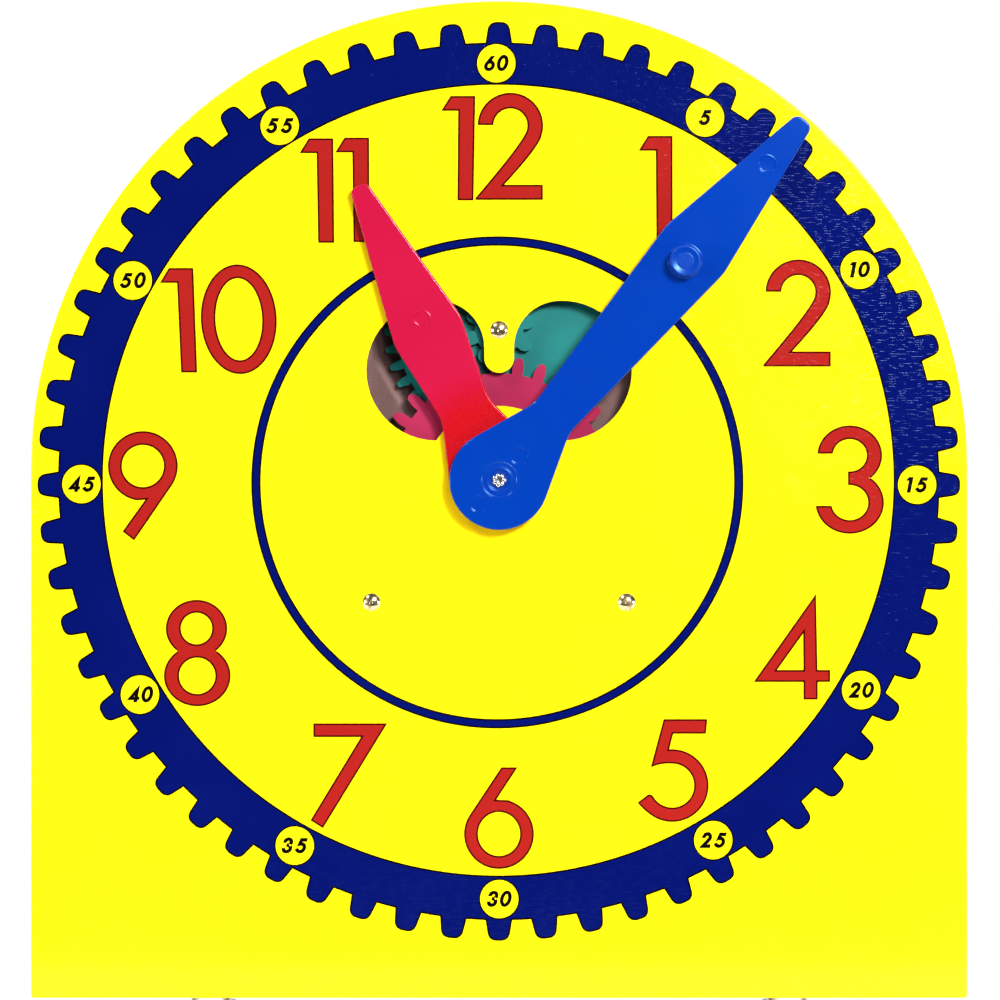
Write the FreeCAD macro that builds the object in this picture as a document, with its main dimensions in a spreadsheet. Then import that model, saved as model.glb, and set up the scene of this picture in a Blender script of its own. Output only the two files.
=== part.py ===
import FreeCAD, Part
import math
import os

import Sketcher

# Geared teaching clock, in millimetres.
#
# The face board stands on two swing-out steel feet. Behind a window in the board a gear
# train ties the two hands together: the minute pinion drives the idler wheel, and the
# idler's own pinion drives the hour gear, so the hour hand turns once for twelve turns
# of the minute hand.
#
# World frame: X to the right, Y to the back, Z up, seen from the front. The origin is on
# the table, under the middle of the board's thickness. Each piece of the clock itself is
# drawn in its own frame as seen from the front: X right, Y up, Z towards the viewer,
# with Z = 0 on the painted front of the board. The feet and their screws are drawn
# upright, in the world's directions.

Vector = FreeCAD.Vector
UP = Vector(0, 0, 1)

# Driving dimensions: name, value, meaning.
DRIVING = (
    ("board_width", 323.85, "width of the face board"),
    ("board_height", 344.8, "height of the face board, arch included"),
    ("board_thick", 9.5, "thickness of the face board"),
    ("board_edge_round", 0.6, "rounding of the board's front and back rims"),
    ("board_corner_round", 1.0, "rounding of the two lower corners"),
    ("axis_height", 179.1, "hands' axis above the board's lower edge"),
    ("recess_clearance", 2.1, "gap from the hour gear's tips to the wall of the gear recess"),
    ("cover_margin", 19.0, "reach of the back cover past the recess"),
    ("cover_thick", 3.2, "thickness of the back cover"),
    ("cover_edge_round", 0.5, "rounding of the back cover's outer rim"),
    ("lobe_x", 21.7, "window lobe's centre, to each side of the axis"),
    ("lobe_y", 37.9, "window lobe's centre above the hands' axis"),
    ("lobe_radius", 24.2, "radius of each window lobe"),
    ("tongue_half", 5.15, "half width of the tongue that carries the idler rivet"),
    ("tongue_y", 42.3, "centre of the tongue's round end above the hands' axis"),
    ("shoulder_radius", 16.2, "curve from the tongue's side into the lobe"),
    ("hub_field_radius", 25.7, "solid field of the board round the hands' axis"),
    ("gear_distance", 52.0, "distance from the hands' axis to the idler's axis"),
    ("hour_gear_teeth", 32, "teeth of the hour gear"),
    ("idler_pinion_teeth", 8, "teeth of the idler's small gear"),
    ("idler_wheel_teeth", 39, "teeth of the idler's large gear"),
    ("minute_pinion_teeth", 13, "teeth of the minute pinion"),
    ("pressure_angle", 20.0, "pressure angle of all gears, degrees"),
    ("tooth_shift", 0.5, "profile shift: added on the pinions, taken off the wheels"),
    ("backlash", 0.35, "play between meshing teeth, along the pitch circle"),
    ("dedendum", 1.25, "root depth of a tooth, in modules"),
    ("wheel_addendum", 1.0, "tip height of the two wheels, in modules"),
    ("idler_pinion_addendum", 0.385, "tip height of the idler's pinion, in modules"),
    ("minute_pinion_addendum", 0.7, "tip height of the minute pinion, in modules"),
    ("hour_tip_round", 0.8, "rounding of the hour gear's tooth tips"),
    ("idler_pinion_tip_round", 1.2, "rounding of the idler pinion's tooth tips"),
    ("fine_tip_round", 0.4, "rounding of the fine tooth tips"),
    ("hour_tooth_angle", 1.6, "first hour gear tooth, from straight up, degrees"),
    ("wheel_tooth_angle", 5.4, "first idler wheel tooth, from the right, degrees"),
    ("gear_thick", 2.4, "thickness of each gear layer"),
    ("front_gap", 0.3, "gap from the board's skin to the front gears"),
    ("layer_gap", 0.4, "gap between the two gear layers"),
    ("back_gap", 1.0, "gap from the rear gears to the back cover"),
    ("end_play", 0.15, "play along the axis at each thrust face"),
    ("boss_width", 2.2, "width of the thrust bosses, measured round the hour tube"),
    ("idler_neck_inset", 0.45, "idler's neck below the root of its pinion's teeth"),
    ("thrust_washer_margin", 0.5, "reach of the two thrust washers past the bosses"),
    ("thrust_washer_thick", 0.55, "thickness of the two thrust washers"),
    ("rivet_radius", 1.65, "shank of the rivets"),
    ("rivet_head_flange", 1.4, "reach of a rivet's head past its shank"),
    ("rivet_head_height", 1.2, "height of the rivets' domed heads"),
    ("rivet_dimple_radius", 0.55, "dimple in the middle of a rivet's head"),
    ("rivet_dimple_depth", 0.4, "depth of that dimple"),
    ("rivet_wall", 0.7, "wall round the hollow in a rivet's tail"),
    ("rivet_core_depth", 3.0, "depth of the hollow in a rivet's tail"),
    ("clinch_flange", 0.85, "reach of a rivet's rolled-over tail past its shank"),
    ("clinch_height", 0.8, "height of the rolled-over tail"),
    ("clinch_round", 0.35, "rounding of the rolled-over tail"),
    ("shaft_clearance", 0.05, "radial play of a shaft in its bore"),
    ("board_clearance", 0.1, "radial play of the hour tube in the board"),
    ("rivet_washer_radius", 4.5, "washer under a rivet's back end"),
    ("rivet_washer_thick", 0.8, "thickness of that washer"),
    ("cover_rivet_margin", 10.2, "cover rivets, outside the recess's wall"),
    ("cover_rivet_angle", 32.9, "cover rivets, from straight down, degrees"),
    ("minute_tube_wall", 1.5, "wall of the minute pinion's tube"),
    ("hour_tube_wall", 1.55, "wall of the hour gear's tube"),
    ("minute_flat_depth", 0.5, "depth of the flats on the minute tube"),
    ("hour_flat_depth", 0.7, "depth of the flats on the hour tube"),
    ("flat_cut_margin", 1.2, "reach of the cuts for the flats past the tubes"),
    ("socket_clearance", 0.02, "play between a tube and the hand pressed on it"),
    ("tube_inset", 0.2, "tube's front end below the hand's front face"),
    ("minute_angle", 40.34, "minute hand at rest, clockwise from twelve, degrees"),
    ("hour_angle", -25.6, "hour hand at rest, clockwise from twelve, degrees"),
    ("hand_hub_radius", 17.2, "round hub of both hands"),
    ("hand_clearance", 0.35, "gap from the rivets' heads to the hour hand"),
    ("hour_hand_thick", 2.2, "thickness of the hour hand"),
    ("minute_hand_gap", 0.3, "gap between the two hands"),
    ("minute_hand_thick", 2.4, "thickness of the minute hand"),
    ("hand_edge_round", 0.6, "rounding of the hands' front rims"),
    ("flare_inset", 0.1, "how far a blade's root corners lie inside the hub's rim"),
    ("hour_flare_angle", 19.7, "where the hour hand leaves its hub, degrees above the side"),
    ("hour_neck_half", 8.9, "hour hand's half width at the neck"),
    ("hour_neck_y", 27.0, "distance of the neck from the axis"),
    ("hour_belly_half", 12.6, "hour hand's half width at its widest"),
    ("hour_belly_y", 57.2, "distance of the widest place from the axis"),
    ("hour_tip_half", 3.15, "hour hand's half width at the tip"),
    ("hour_length", 112.7, "length of the hour hand from its axis"),
    ("hour_tip_corner", 2.7, "rounding of the hour hand's tip"),
    ("minute_flare_angle", 20.3, "where the minute hand leaves its hub, degrees above the side"),
    ("minute_neck_half", 7.95, "minute hand's half width at the neck"),
    ("minute_neck_y", 28.0, "distance of the neck from the axis"),
    ("minute_belly_half", 12.95, "minute hand's half width at its widest"),
    ("minute_belly_y", 104.6, "distance of the widest place from the axis"),
    ("minute_tip_half", 3.4, "minute hand's half width at the tip"),
    ("minute_length", 162.9, "length of the minute hand from its axis"),
    ("minute_tip_corner", 3.1, "rounding of the minute hand's tip"),
    ("neck_round", 16.0, "curve of a hand's neck"),
    ("belly_round", 14.0, "curve of a hand's widest place"),
    ("hub_dish_radius", 5.95, "shallow dish in the minute hand's hub"),
    ("hub_dish_depth", 0.25, "depth of that dish"),
    ("knob_distance", 98.9, "minute hand's knob from the axis"),
    ("knob_radius", 5.0, "radius of the knob"),
    ("knob_height", 6.0, "height of the knob above the hand"),
    ("knob_foot_round", 1.2, "curve at the knob's foot"),
    ("knob_rim_round", 0.45, "rounding of the knob's rim"),
    ("knob_dish_radius", 4.0, "dish in the knob's end"),
    ("knob_dish_depth", 0.9, "depth of the dish"),
    ("knob_button_radius", 2.6, "raised disc in the dish"),
    ("knob_button_height", 0.4, "height of the raised disc"),
    ("mark_radius", 2.9, "moulding marks on the hands, outside"),
    ("mark_width", 0.45, "width of a moulding mark's groove"),
    ("mark_depth", 0.15, "depth of a moulding mark's groove"),
    ("hour_mark_y", 61.7, "moulding mark on the hour hand"),
    ("minute_mark_low", 10.8, "moulding mark behind the minute hand's axis"),
    ("minute_mark_high", 142.7, "moulding mark near the minute hand's tip"),
    ("foot_x", 100.0, "each foot's pivot, to the side of the middle"),
    ("foot_length", 100.0, "length of a foot"),
    ("foot_width", 13.0, "width of a foot"),
    ("foot_thick", 1.6, "thickness of a foot's steel strip"),
    ("foot_rise", 4.2, "underside of a foot's raised middle above the table"),
    ("foot_seat_half", 12.0, "half length of a foot's raised middle"),
    ("foot_ramp", 6.0, "length of the slope at each side of the middle"),
    ("foot_bend_round", 1.5, "rounding of a foot's bends"),
    ("foot_end_round", 6.0, "rounding of a foot's corners"),
    ("foot_play", 0.15, "play above and below a foot on its screw"),
    ("foot_washer_radius", 5.5, "washers above and below a foot"),
    ("foot_washer_thick", 0.8, "thickness of those washers"),
    ("screw_radius", 2.0, "shank of a foot's screw"),
    ("screw_head_radius", 4.1, "head of a foot's screw"),
    ("screw_head_height", 2.3, "height of that head"),
    ("screw_head_round", 0.8, "rounding of that head"),
    ("screw_reach", 16.0, "length of a foot's screw inside the board"),
    ("screw_point_round", 1.5, "rounding of the screw's point"),
    ("screw_slot_width", 1.0, "width of a stroke of the cross recess"),
    ("screw_slot_half", 2.3, "half length of a stroke of the cross recess"),
    ("screw_slot_depth", 1.2, "depth of the cross recess"),
    ("foot_hole_gap", 0.1, "radial play of a foot on its screw"),
)

# Modules of the two pairs of toothed layers, from the distance between the axes.
MODULES = (
    ("front_module", "=2 * gear_distance / (hour_gear_teeth + idler_pinion_teeth)"),
    ("rear_module", "=2 * gear_distance / (idler_wheel_teeth + minute_pinion_teeth)"),
)

# The four toothed layers: name, module, tip height, and how the tooth shift counts.
TOOTHED = (
    ("hour_gear", "front_module", "wheel_addendum", "-"),
    ("idler_pinion", "front_module", "idler_pinion_addendum", "+"),
    ("idler_wheel", "rear_module", "wheel_addendum", "-"),
    ("minute_pinion", "rear_module", "minute_pinion_addendum", "+"),
)

# Other dimensions that follow from the driving ones. Heights named z are along a piece's
# own Z, measured from the painted front of the board, positive towards the viewer.
DERIVED = (
    ("board_half", "=board_width / 2"),
    ("arch_y", "=board_height - board_width / 2"),
    ("idler_y", "=axis_height + gear_distance"),
    ("recess_offset", "=gear_distance / 2"),
    ("recess_radius", "=gear_distance / 2 + hour_gear_tip + recess_clearance"),
    ("cover_radius", "=recess_radius + cover_margin"),
    ("recess_y", "=axis_height + recess_offset"),
    ("cover_rivet_reach", "=recess_radius + cover_rivet_margin"),
    ("cover_rivet_x", "=cover_rivet_reach * sin(cover_rivet_angle)"),
    ("cover_rivet_drop", "=cover_rivet_reach * cos(cover_rivet_angle) - recess_offset"),
    ("cover_rivet_y", "=axis_height - cover_rivet_drop"),
    ("tongue_centre_y", "=axis_height + tongue_y"),
    ("lobe_centre_y", "=axis_height + lobe_y"),
    ("cover_shaft_y", "=0 - recess_offset"),
    ("cover_idler_y", "=gear_distance - recess_offset"),
    ("cover_low_y", "=0 - recess_offset - cover_rivet_drop"),
    ("skin_thick", "=board_thick - front_gap - 2 * gear_thick - layer_gap - back_gap"),
    ("skin_z", "=0 - skin_thick"),
    ("board_back_z", "=0 - board_thick"),
    ("cover_back_z", "=0 - board_thick - cover_thick"),
    ("washer_back_z", "=cover_back_z - rivet_washer_thick"),
    ("front_top_z", "=skin_z - front_gap"),
    ("front_low_z", "=front_top_z - gear_thick"),
    ("rear_top_z", "=front_low_z - layer_gap"),
    ("rear_low_z", "=rear_top_z - gear_thick"),
    ("boss_top_z", "=skin_z - end_play"),
    ("thrust_top_z", "=thrust_washer_thick - board_thick"),
    ("boss_low_z", "=thrust_top_z + end_play"),
    ("hour_low_z", "=rivet_head_height + hand_clearance"),
    ("hour_top_z", "=hour_low_z + hour_hand_thick"),
    ("hour_seat_z", "=end_play"),
    ("hour_tube_z", "=hour_top_z - tube_inset"),
    ("minute_seat_z", "=hour_top_z + end_play"),
    ("minute_low_z", "=hour_top_z + minute_hand_gap"),
    ("minute_top_z", "=minute_low_z + minute_hand_thick"),
    ("minute_dish_z", "=minute_top_z - hub_dish_depth"),
    ("minute_tube_z", "=minute_dish_z - tube_inset"),
    ("clinch_z", "=minute_dish_z + end_play"),
    ("knob_top_z", "=minute_top_z + knob_height"),
    ("knob_dish_z", "=knob_top_z - knob_dish_depth"),
    ("knob_button_z", "=knob_dish_z + knob_button_height"),
    ("hour_mark_z", "=hour_top_z - mark_depth"),
    ("minute_mark_z", "=minute_top_z - mark_depth"),
    ("mark_inner", "=mark_radius - mark_width"),
    ("rivet_bore", "=rivet_radius + shaft_clearance"),
    ("rivet_head_radius", "=rivet_radius + rivet_head_flange"),
    ("rivet_core_radius", "=rivet_radius - rivet_wall"),
    ("clinch_radius", "=rivet_radius + clinch_flange"),
    ("minute_tube_radius", "=rivet_bore + minute_tube_wall"),
    ("minute_flat", "=minute_tube_radius - minute_flat_depth"),
    ("hour_bore", "=minute_tube_radius + shaft_clearance"),
    ("hour_tube_radius", "=hour_bore + hour_tube_wall"),
    ("hour_flat", "=hour_tube_radius - hour_flat_depth"),
    ("flat_cut_reach", "=hour_tube_radius + flat_cut_margin"),
    ("board_bore", "=hour_tube_radius + board_clearance"),
    ("boss_radius", "=hour_tube_radius + boss_width"),
    ("thrust_washer_radius", "=boss_radius + thrust_washer_margin"),
    ("idler_neck_radius", "=idler_pinion_root - idler_neck_inset"),
    ("hour_socket", "=hour_tube_radius + socket_clearance"),
    ("hour_socket_flat", "=hour_flat + socket_clearance"),
    ("minute_socket", "=minute_tube_radius + socket_clearance"),
    ("minute_socket_flat", "=minute_flat + socket_clearance"),
    ("hour_flare_half", "=(hand_hub_radius - flare_inset) * cos(hour_flare_angle)"),
    ("hour_flare_y", "=(hand_hub_radius - flare_inset) * sin(hour_flare_angle)"),
    ("minute_flare_half", "=(hand_hub_radius - flare_inset) * cos(minute_flare_angle)"),
    ("minute_flare_y", "=(hand_hub_radius - flare_inset) * sin(minute_flare_angle)"),
    ("idler_turn", "=180 + 180 / idler_pinion_teeth"
                   " - hour_tooth_angle * hour_gear_teeth / idler_pinion_teeth"),
    ("minute_turn", "=(270 - wheel_tooth_angle - 180 / idler_wheel_teeth)"
                    " * idler_wheel_teeth / minute_pinion_teeth"),
    ("front_rivet_length", "=board_thick + cover_thick + rivet_washer_thick"),
    ("centre_rivet_length", "=clinch_z - washer_back_z"),
    ("dome_radius", "=(rivet_head_height ^ 2 + rivet_head_radius ^ 2) / (2 * rivet_head_height)"),
    ("rivet_dimple_z", "=rivet_head_height - rivet_dimple_depth"),
    ("foot_half", "=foot_length / 2"),
    ("foot_ramp_end", "=foot_seat_half + foot_ramp"),
    ("foot_middle_top", "=foot_rise + foot_thick"),
    ("spacer_low", "=foot_middle_top + foot_play"),
    ("board_lift", "=spacer_low + foot_washer_thick"),
    ("screw_washer_top", "=foot_rise - foot_play"),
    ("screw_washer_low", "=screw_washer_top - foot_washer_thick"),
    ("screw_head_low", "=screw_washer_low - screw_head_height"),
    ("screw_slot_top", "=screw_head_low + screw_slot_depth"),
    ("screw_end_z", "=board_lift + screw_reach"),
    ("pilot_radius", "=screw_radius + shaft_clearance"),
    ("foot_hole_radius", "=screw_radius + foot_hole_gap"),
    ("slot_half_width", "=screw_slot_width / 2"),
    ("board_middle_z", "=0 - board_thick / 2"),
    ("axis_z", "=board_lift + axis_height"),
    ("idler_axis_z", "=axis_z + gear_distance"),
    ("recess_axis_z", "=axis_z + recess_offset"),
    ("cover_rivet_axis_z", "=axis_z - cover_rivet_drop"),
    ("face_plane_y", "=0 - board_thick / 2"),
    ("centre_head_y", "=face_plane_y - washer_back_z"),
)

doc = FreeCAD.newDocument("geared_teaching_clock")
sheet = doc.addObject("Spreadsheet::Sheet", "Sizes")


def fill_sheet():
    """Write the driving dimensions and the derived ones, each with its name."""
    rows = [(name, str(number), note) for name, number, note in DRIVING]
    derived = list(MODULES)
    for gear, module, addendum, sign in TOOTHED:
        derived += [
            (f"{gear}_pitch", f"={module} * {gear}_teeth / 2"),
            (f"{gear}_tip", f"={gear}_pitch + {module} * ({addendum} {sign} tooth_shift)"),
            (f"{gear}_root", f"={gear}_pitch - {module} * (dedendum - (0 {sign} tooth_shift))"),
        ]
    derived += DERIVED
    rows += [(name, formula, "follows from the driving dimensions") for name, formula in derived]
    for row, (name, content, note) in enumerate(rows, start=1):
        sheet.set(f"A{row}", name)
        sheet.set(f"B{row}", content)
        sheet.set(f"C{row}", note)
        sheet.setAlias(f"B{row}", name)
    doc.recompute()


def value(name):
    """Number in a named cell. A leading minus turns its sign, and "0" is zero."""
    if name == "0":
        return 0.0
    sign = -1.0 if name.startswith("-") else 1.0
    return sign * float(sheet.get(name.lstrip("-")))


def tied(name):
    """Expression that reads a named cell, with the same signs as value()."""
    if name == "0":
        return "0"
    return f"-Sizes.{name[1:]}" if name.startswith("-") else f"Sizes.{name}"


def facing_front(height, turn="0", x="0"):
    """Placement of a piece drawn as seen from the front, on the board's painted face."""
    return (
        f"placement(vector({tied(x)}; Sizes.face_plane_y; {tied(height)}); "
        f"rotation(vector(1; 0; 0); 90) * rotation(vector(0; 0; 1); {turn}))"
    )


def upright(x):
    """Placement of a piece drawn upright, standing on the table."""
    return f"placement(vector({tied(x)}; 0; 0); rotation(vector(0; 0; 1); 0))"


class Piece:
    """One physical piece of the clock: a body of sketches, pads and pockets."""

    def __init__(self, label, placement):
        self.body = doc.addObject("PartDesign::Body", label)
        self.body.Label = label
        self.placement = placement
        self.label = label
        self.count = 0

    def origin(self, role):
        """Plane or axis of the piece's own origin."""
        return next(item for item in self.body.Origin.OriginFeatures if item.Role == role)

    def feature(self, kind, profile=None):
        """New feature of the body, reading a sketch if one is given."""
        self.count += 1
        item = self.body.newObject(f"PartDesign::{kind}", f"{self.label}_{kind}_{self.count}")
        if profile is not None:
            item.Profile = profile
        return item

    def sketch(self, height="0", plane="XY_Plane"):
        """Empty sketch on an origin plane, raised to a named height."""
        self.count += 1
        drawing = self.body.newObject("Sketcher::SketchObject", f"{self.label}_sketch_{self.count}")
        drawing.AttachmentSupport = [(self.origin(plane), "")]
        drawing.MapMode = "FlatFace"
        if height != "0":
            drawing.setExpression("AttachmentOffset.Base.z", tied(height))
        return drawing

    def pad(self, drawing, low, top):
        """Raise a sketch that lies at height low up to height top."""
        item = self.feature("Pad", drawing)
        item.setExpression("Length", f"{tied(top)} - ({tied(low)})")
        return item

    def pocket(self, drawing, low, top):
        """Cut a sketch that lies at height top down to height low."""
        item = self.feature("Pocket", drawing)
        item.setExpression("Length", f"{tied(top)} - ({tied(low)})")
        return item

    def disc(self, radius, low, top, x="0", y="0"):
        """Round pad between two heights."""
        drawing = self.sketch(low)
        add_circle(drawing, radius, x, y)
        return self.pad(drawing, low, top)

    def bore(self, radius, low, top, x="0", y="0"):
        """Round pocket between two heights."""
        drawing = self.sketch(top)
        add_circle(drawing, radius, x, y)
        return self.pocket(drawing, low, top)

    def ring_cut(self, inner, outer, low, top, x="0", y="0"):
        """Ring-shaped pocket between two heights."""
        drawing = self.sketch(top)
        add_circle(drawing, outer, x, y)
        add_circle(drawing, inner, x, y)
        return self.pocket(drawing, low, top)

    def revolve(self, drawing):
        """Turn a half profile about its sketch's upright axis."""
        item = self.feature("Revolution", drawing)
        item.ReferenceAxis = (drawing, ["V_Axis"])
        item.Angle = 360
        return item

    def round_off(self, radius, wanted):
        """Fillet every edge of the body for which wanted(edge) is true."""
        doc.recompute()
        base = self.body.Tip
        names = [f"Edge{n}" for n, edge in enumerate(base.Shape.Edges, start=1) if wanted(edge)]
        if not names:
            raise ValueError(f"{self.label}: no edge to round")
        item = self.feature("Fillet")
        item.Base = (base, names)
        item.setExpression("Radius", tied(radius))
        return item

    def around(self, original, occurrences):
        """Repeat a feature evenly about the piece's own Z axis."""
        item = self.feature("PolarPattern")
        item.Originals = [original]
        item.Axis = (self.origin("Z_Axis"), [""])
        item.Angle = 360
        item.setExpression("Occurrences", tied(occurrences))
        self.body.Tip = item
        return item

    def done(self):
        """Set the piece in its place."""
        self.body.setExpression("Placement", self.placement)
        doc.recompute()
        return self.body


def place_point(drawing, geometry, point, x, y):
    """Fix one point of a sketch at named distances from the sketch's origin."""
    if x == "0" and y == "0":
        drawing.addConstraint(Sketcher.Constraint("Coincident", geometry, point, -1, 1))
        return
    for kind, axis, name in (("DistanceX", -2, x), ("DistanceY", -1, y)):
        if name == "0":
            drawing.addConstraint(Sketcher.Constraint("PointOnObject", geometry, point, axis))
        else:
            number = drawing.addConstraint(
                Sketcher.Constraint(kind, -1, 1, geometry, point, value(name))
            )
            drawing.setExpression(f"Constraints[{number}]", tied(name))


def set_radius(drawing, geometry, radius):
    """Tie the radius of a circle or arc to a named cell."""
    number = drawing.addConstraint(Sketcher.Constraint("Radius", geometry, value(radius)))
    drawing.setExpression(f"Constraints[{number}]", tied(radius))


def add_circle(drawing, radius, x="0", y="0"):
    """Circle of a named radius about a named point."""
    centre = Vector(value(x), value(y), 0)
    geometry = drawing.addGeometry(Part.Circle(centre, UP, value(radius)), False)
    place_point(drawing, geometry, 3, x, y)
    set_radius(drawing, geometry, radius)
    return geometry


def add_arc(drawing, centre, radius, start, end):
    """Arc about a centre, counter-clockwise from one angle to another, in radians."""
    circle = Part.Circle(centre, UP, radius)
    return drawing.addGeometry(Part.ArcOfCircle(circle, start, end), False)


def add_polygon(drawing, corners):
    """Closed outline of straight lines through corners given by their named distances."""
    points = [Vector(value(x), value(y), 0) for x, y in corners]
    first = drawing.GeometryCount
    count = len(points)
    for index, point in enumerate(points):
        drawing.addGeometry(Part.LineSegment(point, points[(index + 1) % count]), False)
    for index, (x, y) in enumerate(corners):
        before = first + (index - 1) % count
        drawing.addConstraint(Sketcher.Constraint("Coincident", before, 2, first + index, 1))
        place_point(drawing, first + index, 1, x, y)


def is_upright(edge):
    """True for a straight edge along the piece's own Z."""
    if not isinstance(edge.Curve, Part.Line):
        return False
    return abs(edge.tangentAt(edge.FirstParameter).z) > 0.999


def lies_at(edge, height):
    """True for an edge that lies wholly at one height."""
    box = edge.BoundBox
    return abs(box.ZMin - height) < 1e-4 and abs(box.ZMax - height) < 1e-4


# ---------------------------------------------------------------- the board and its cover


def window_outline(drawing):
    """Bean-shaped window: two round lobes with a tongue hanging down between them."""
    axis_y = value("axis_height")
    lobe = Vector(value("lobe_x"), value("lobe_y"), 0)
    lobe_radius = value("lobe_radius")
    shoulder_radius = value("shoulder_radius")
    half = value("tongue_half")
    # The shoulder touches the tongue's side and, from inside, the lobe's circle.
    shoulder_x = half + shoulder_radius
    reach = lobe_radius - shoulder_radius
    shoulder_y = lobe.y + math.sqrt(reach ** 2 - (shoulder_x - lobe.x) ** 2)
    touch = math.atan2(shoulder_y - lobe.y, shoulder_x - lobe.x)
    # The lobe's lower end meets the solid field round the hands' axis.
    field = value("hub_field_radius")
    distance = lobe.Length
    along = (field ** 2 - lobe_radius ** 2 + distance ** 2) / (2 * distance)
    across = math.sqrt(field ** 2 - along ** 2)
    meet_x = (along * lobe.x + across * lobe.y) / distance
    meet_y = (along * lobe.y - across * lobe.x) / distance
    meet = math.atan2(meet_y - lobe.y, meet_x - lobe.x)
    field_angle = math.atan2(meet_y, meet_x)

    tongue_y = axis_y + value("tongue_y")
    tongue = add_arc(drawing, Vector(0, tongue_y, 0), half, math.pi, 2 * math.pi)
    place_point(drawing, tongue, 3, "0", "tongue_centre_y")
    set_radius(drawing, tongue, "tongue_half")
    hub = add_arc(drawing, Vector(0, axis_y, 0), field, field_angle, math.pi - field_angle)
    place_point(drawing, hub, 3, "0", "axis_height")
    set_radius(drawing, hub, "hub_field_radius")
    for side, tongue_point, hub_point in ((1, 2, 1), (-1, 1, 2)):
        line = drawing.addGeometry(
            Part.LineSegment(
                Vector(side * half, tongue_y, 0), Vector(side * half, axis_y + shoulder_y, 0)
            ),
            False,
        )
        shoulder_centre = Vector(side * shoulder_x, axis_y + shoulder_y, 0)
        lobe_centre = Vector(side * lobe.x, axis_y + lobe.y, 0)
        if side > 0:
            shoulder_span = (touch, math.pi)
            lobe_span = (meet, touch)
            shoulder_line, shoulder_lobe, lobe_shoulder, lobe_hub = 2, 1, 2, 1
        else:
            shoulder_span = (0, math.pi - touch)
            lobe_span = (math.pi - touch, math.pi - meet)
            shoulder_line, shoulder_lobe, lobe_shoulder, lobe_hub = 1, 2, 1, 2
        shoulder = add_arc(drawing, shoulder_centre, shoulder_radius, *shoulder_span)
        lobe_arc = add_arc(drawing, lobe_centre, lobe_radius, *lobe_span)
        lobe_x = "lobe_x" if side > 0 else "-lobe_x"
        place_point(drawing, lobe_arc, 3, lobe_x, "lobe_centre_y")
        set_radius(drawing, lobe_arc, "lobe_radius")
        set_radius(drawing, shoulder, "shoulder_radius")
        for constraint in (
            Sketcher.Constraint("Vertical", line),
            Sketcher.Constraint("Tangent", line, 1, tongue, tongue_point),
            Sketcher.Constraint("Tangent", line, 2, shoulder, shoulder_line),
            Sketcher.Constraint("Tangent", shoulder, shoulder_lobe, lobe_arc, lobe_shoulder),
            Sketcher.Constraint("Coincident", lobe_arc, lobe_hub, hub, hub_point),
        ):
            drawing.addConstraint(constraint)


def make_face_board():
    """Arched board with the shaft hole, the window, the gear recess and the screw holes."""
    piece = Piece("face_board", facing_front("board_lift"))
    outline = piece.sketch("board_back_z")
    half, arch = value("board_half"), value("arch_y")
    corners = [Vector(-half, arch, 0), Vector(-half, 0, 0), Vector(half, 0, 0), Vector(half, arch, 0)]
    lines = [
        outline.addGeometry(Part.LineSegment(start, end), False)
        for start, end in zip(corners, corners[1:])
    ]
    left, bottom, right = lines
    top = add_arc(outline, Vector(0, arch, 0), half, 0, math.pi)
    for constraint in (
        Sketcher.Constraint("Coincident", left, 2, bottom, 1),
        Sketcher.Constraint("Coincident", bottom, 2, right, 1),
        Sketcher.Constraint("Coincident", right, 2, top, 1),
        Sketcher.Constraint("Coincident", top, 2, left, 1),
    ):
        outline.addConstraint(constraint)
    place_point(outline, left, 1, "-board_half", "arch_y")
    place_point(outline, bottom, 1, "-board_half", "0")
    place_point(outline, right, 1, "board_half", "0")
    place_point(outline, right, 2, "board_half", "arch_y")
    number = outline.addConstraint(Sketcher.Constraint("DistanceY", -1, 1, top, 3, arch))
    outline.setExpression(f"Constraints[{number}]", tied("arch_y"))
    piece.pad(outline, "board_back_z", "0")
    piece.round_off("board_corner_round", lambda edge: is_upright(edge) and edge.CenterOfMass.y < 1)
    front, back = 0.0, value("board_back_z")
    piece.round_off(
        "board_edge_round", lambda edge: lies_at(edge, front) or lies_at(edge, back)
    )
    window = piece.sketch()
    window_outline(window)
    piece.pocket(window, "skin_z", "0")
    recess = piece.sketch("skin_z")
    add_circle(recess, "recess_radius", "0", "recess_y")
    cut = piece.pocket(recess, "board_back_z", "skin_z")
    cut.Label = "gear_recess"
    piece.bore("board_bore", "board_back_z", "0", "0", "axis_height")
    piece.bore("rivet_bore", "board_back_z", "0", "0", "idler_y")
    for x in ("-cover_rivet_x", "cover_rivet_x"):
        piece.bore("rivet_bore", "board_back_z", "0", x, "cover_rivet_y")
    pilots = piece.sketch(plane="XZ_Plane")
    for x in ("-foot_x", "foot_x"):
        add_circle(pilots, "pilot_radius", x, "board_middle_z")
    drilled = piece.feature("Pocket", pilots)
    drilled.setExpression("Length", "Sizes.screw_reach")
    return piece.done()


def make_back_cover():
    """Round cover over the recess, drilled for the shaft rivet and the three board rivets."""
    piece = Piece("back_cover", facing_front("recess_axis_z"))
    piece.disc("cover_radius", "cover_back_z", "board_back_z")
    piece.round_off("cover_edge_round", lambda edge: lies_at(edge, value("cover_back_z")))
    for x, y in (
        ("0", "cover_shaft_y"),
        ("0", "cover_idler_y"),
        ("-cover_rivet_x", "cover_low_y"),
        ("cover_rivet_x", "cover_low_y"),
    ):
        piece.bore("rivet_bore", "cover_back_z", "board_back_z", x, y)
    return piece.done()


# ---------------------------------------------------------------- rivets and washers


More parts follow.
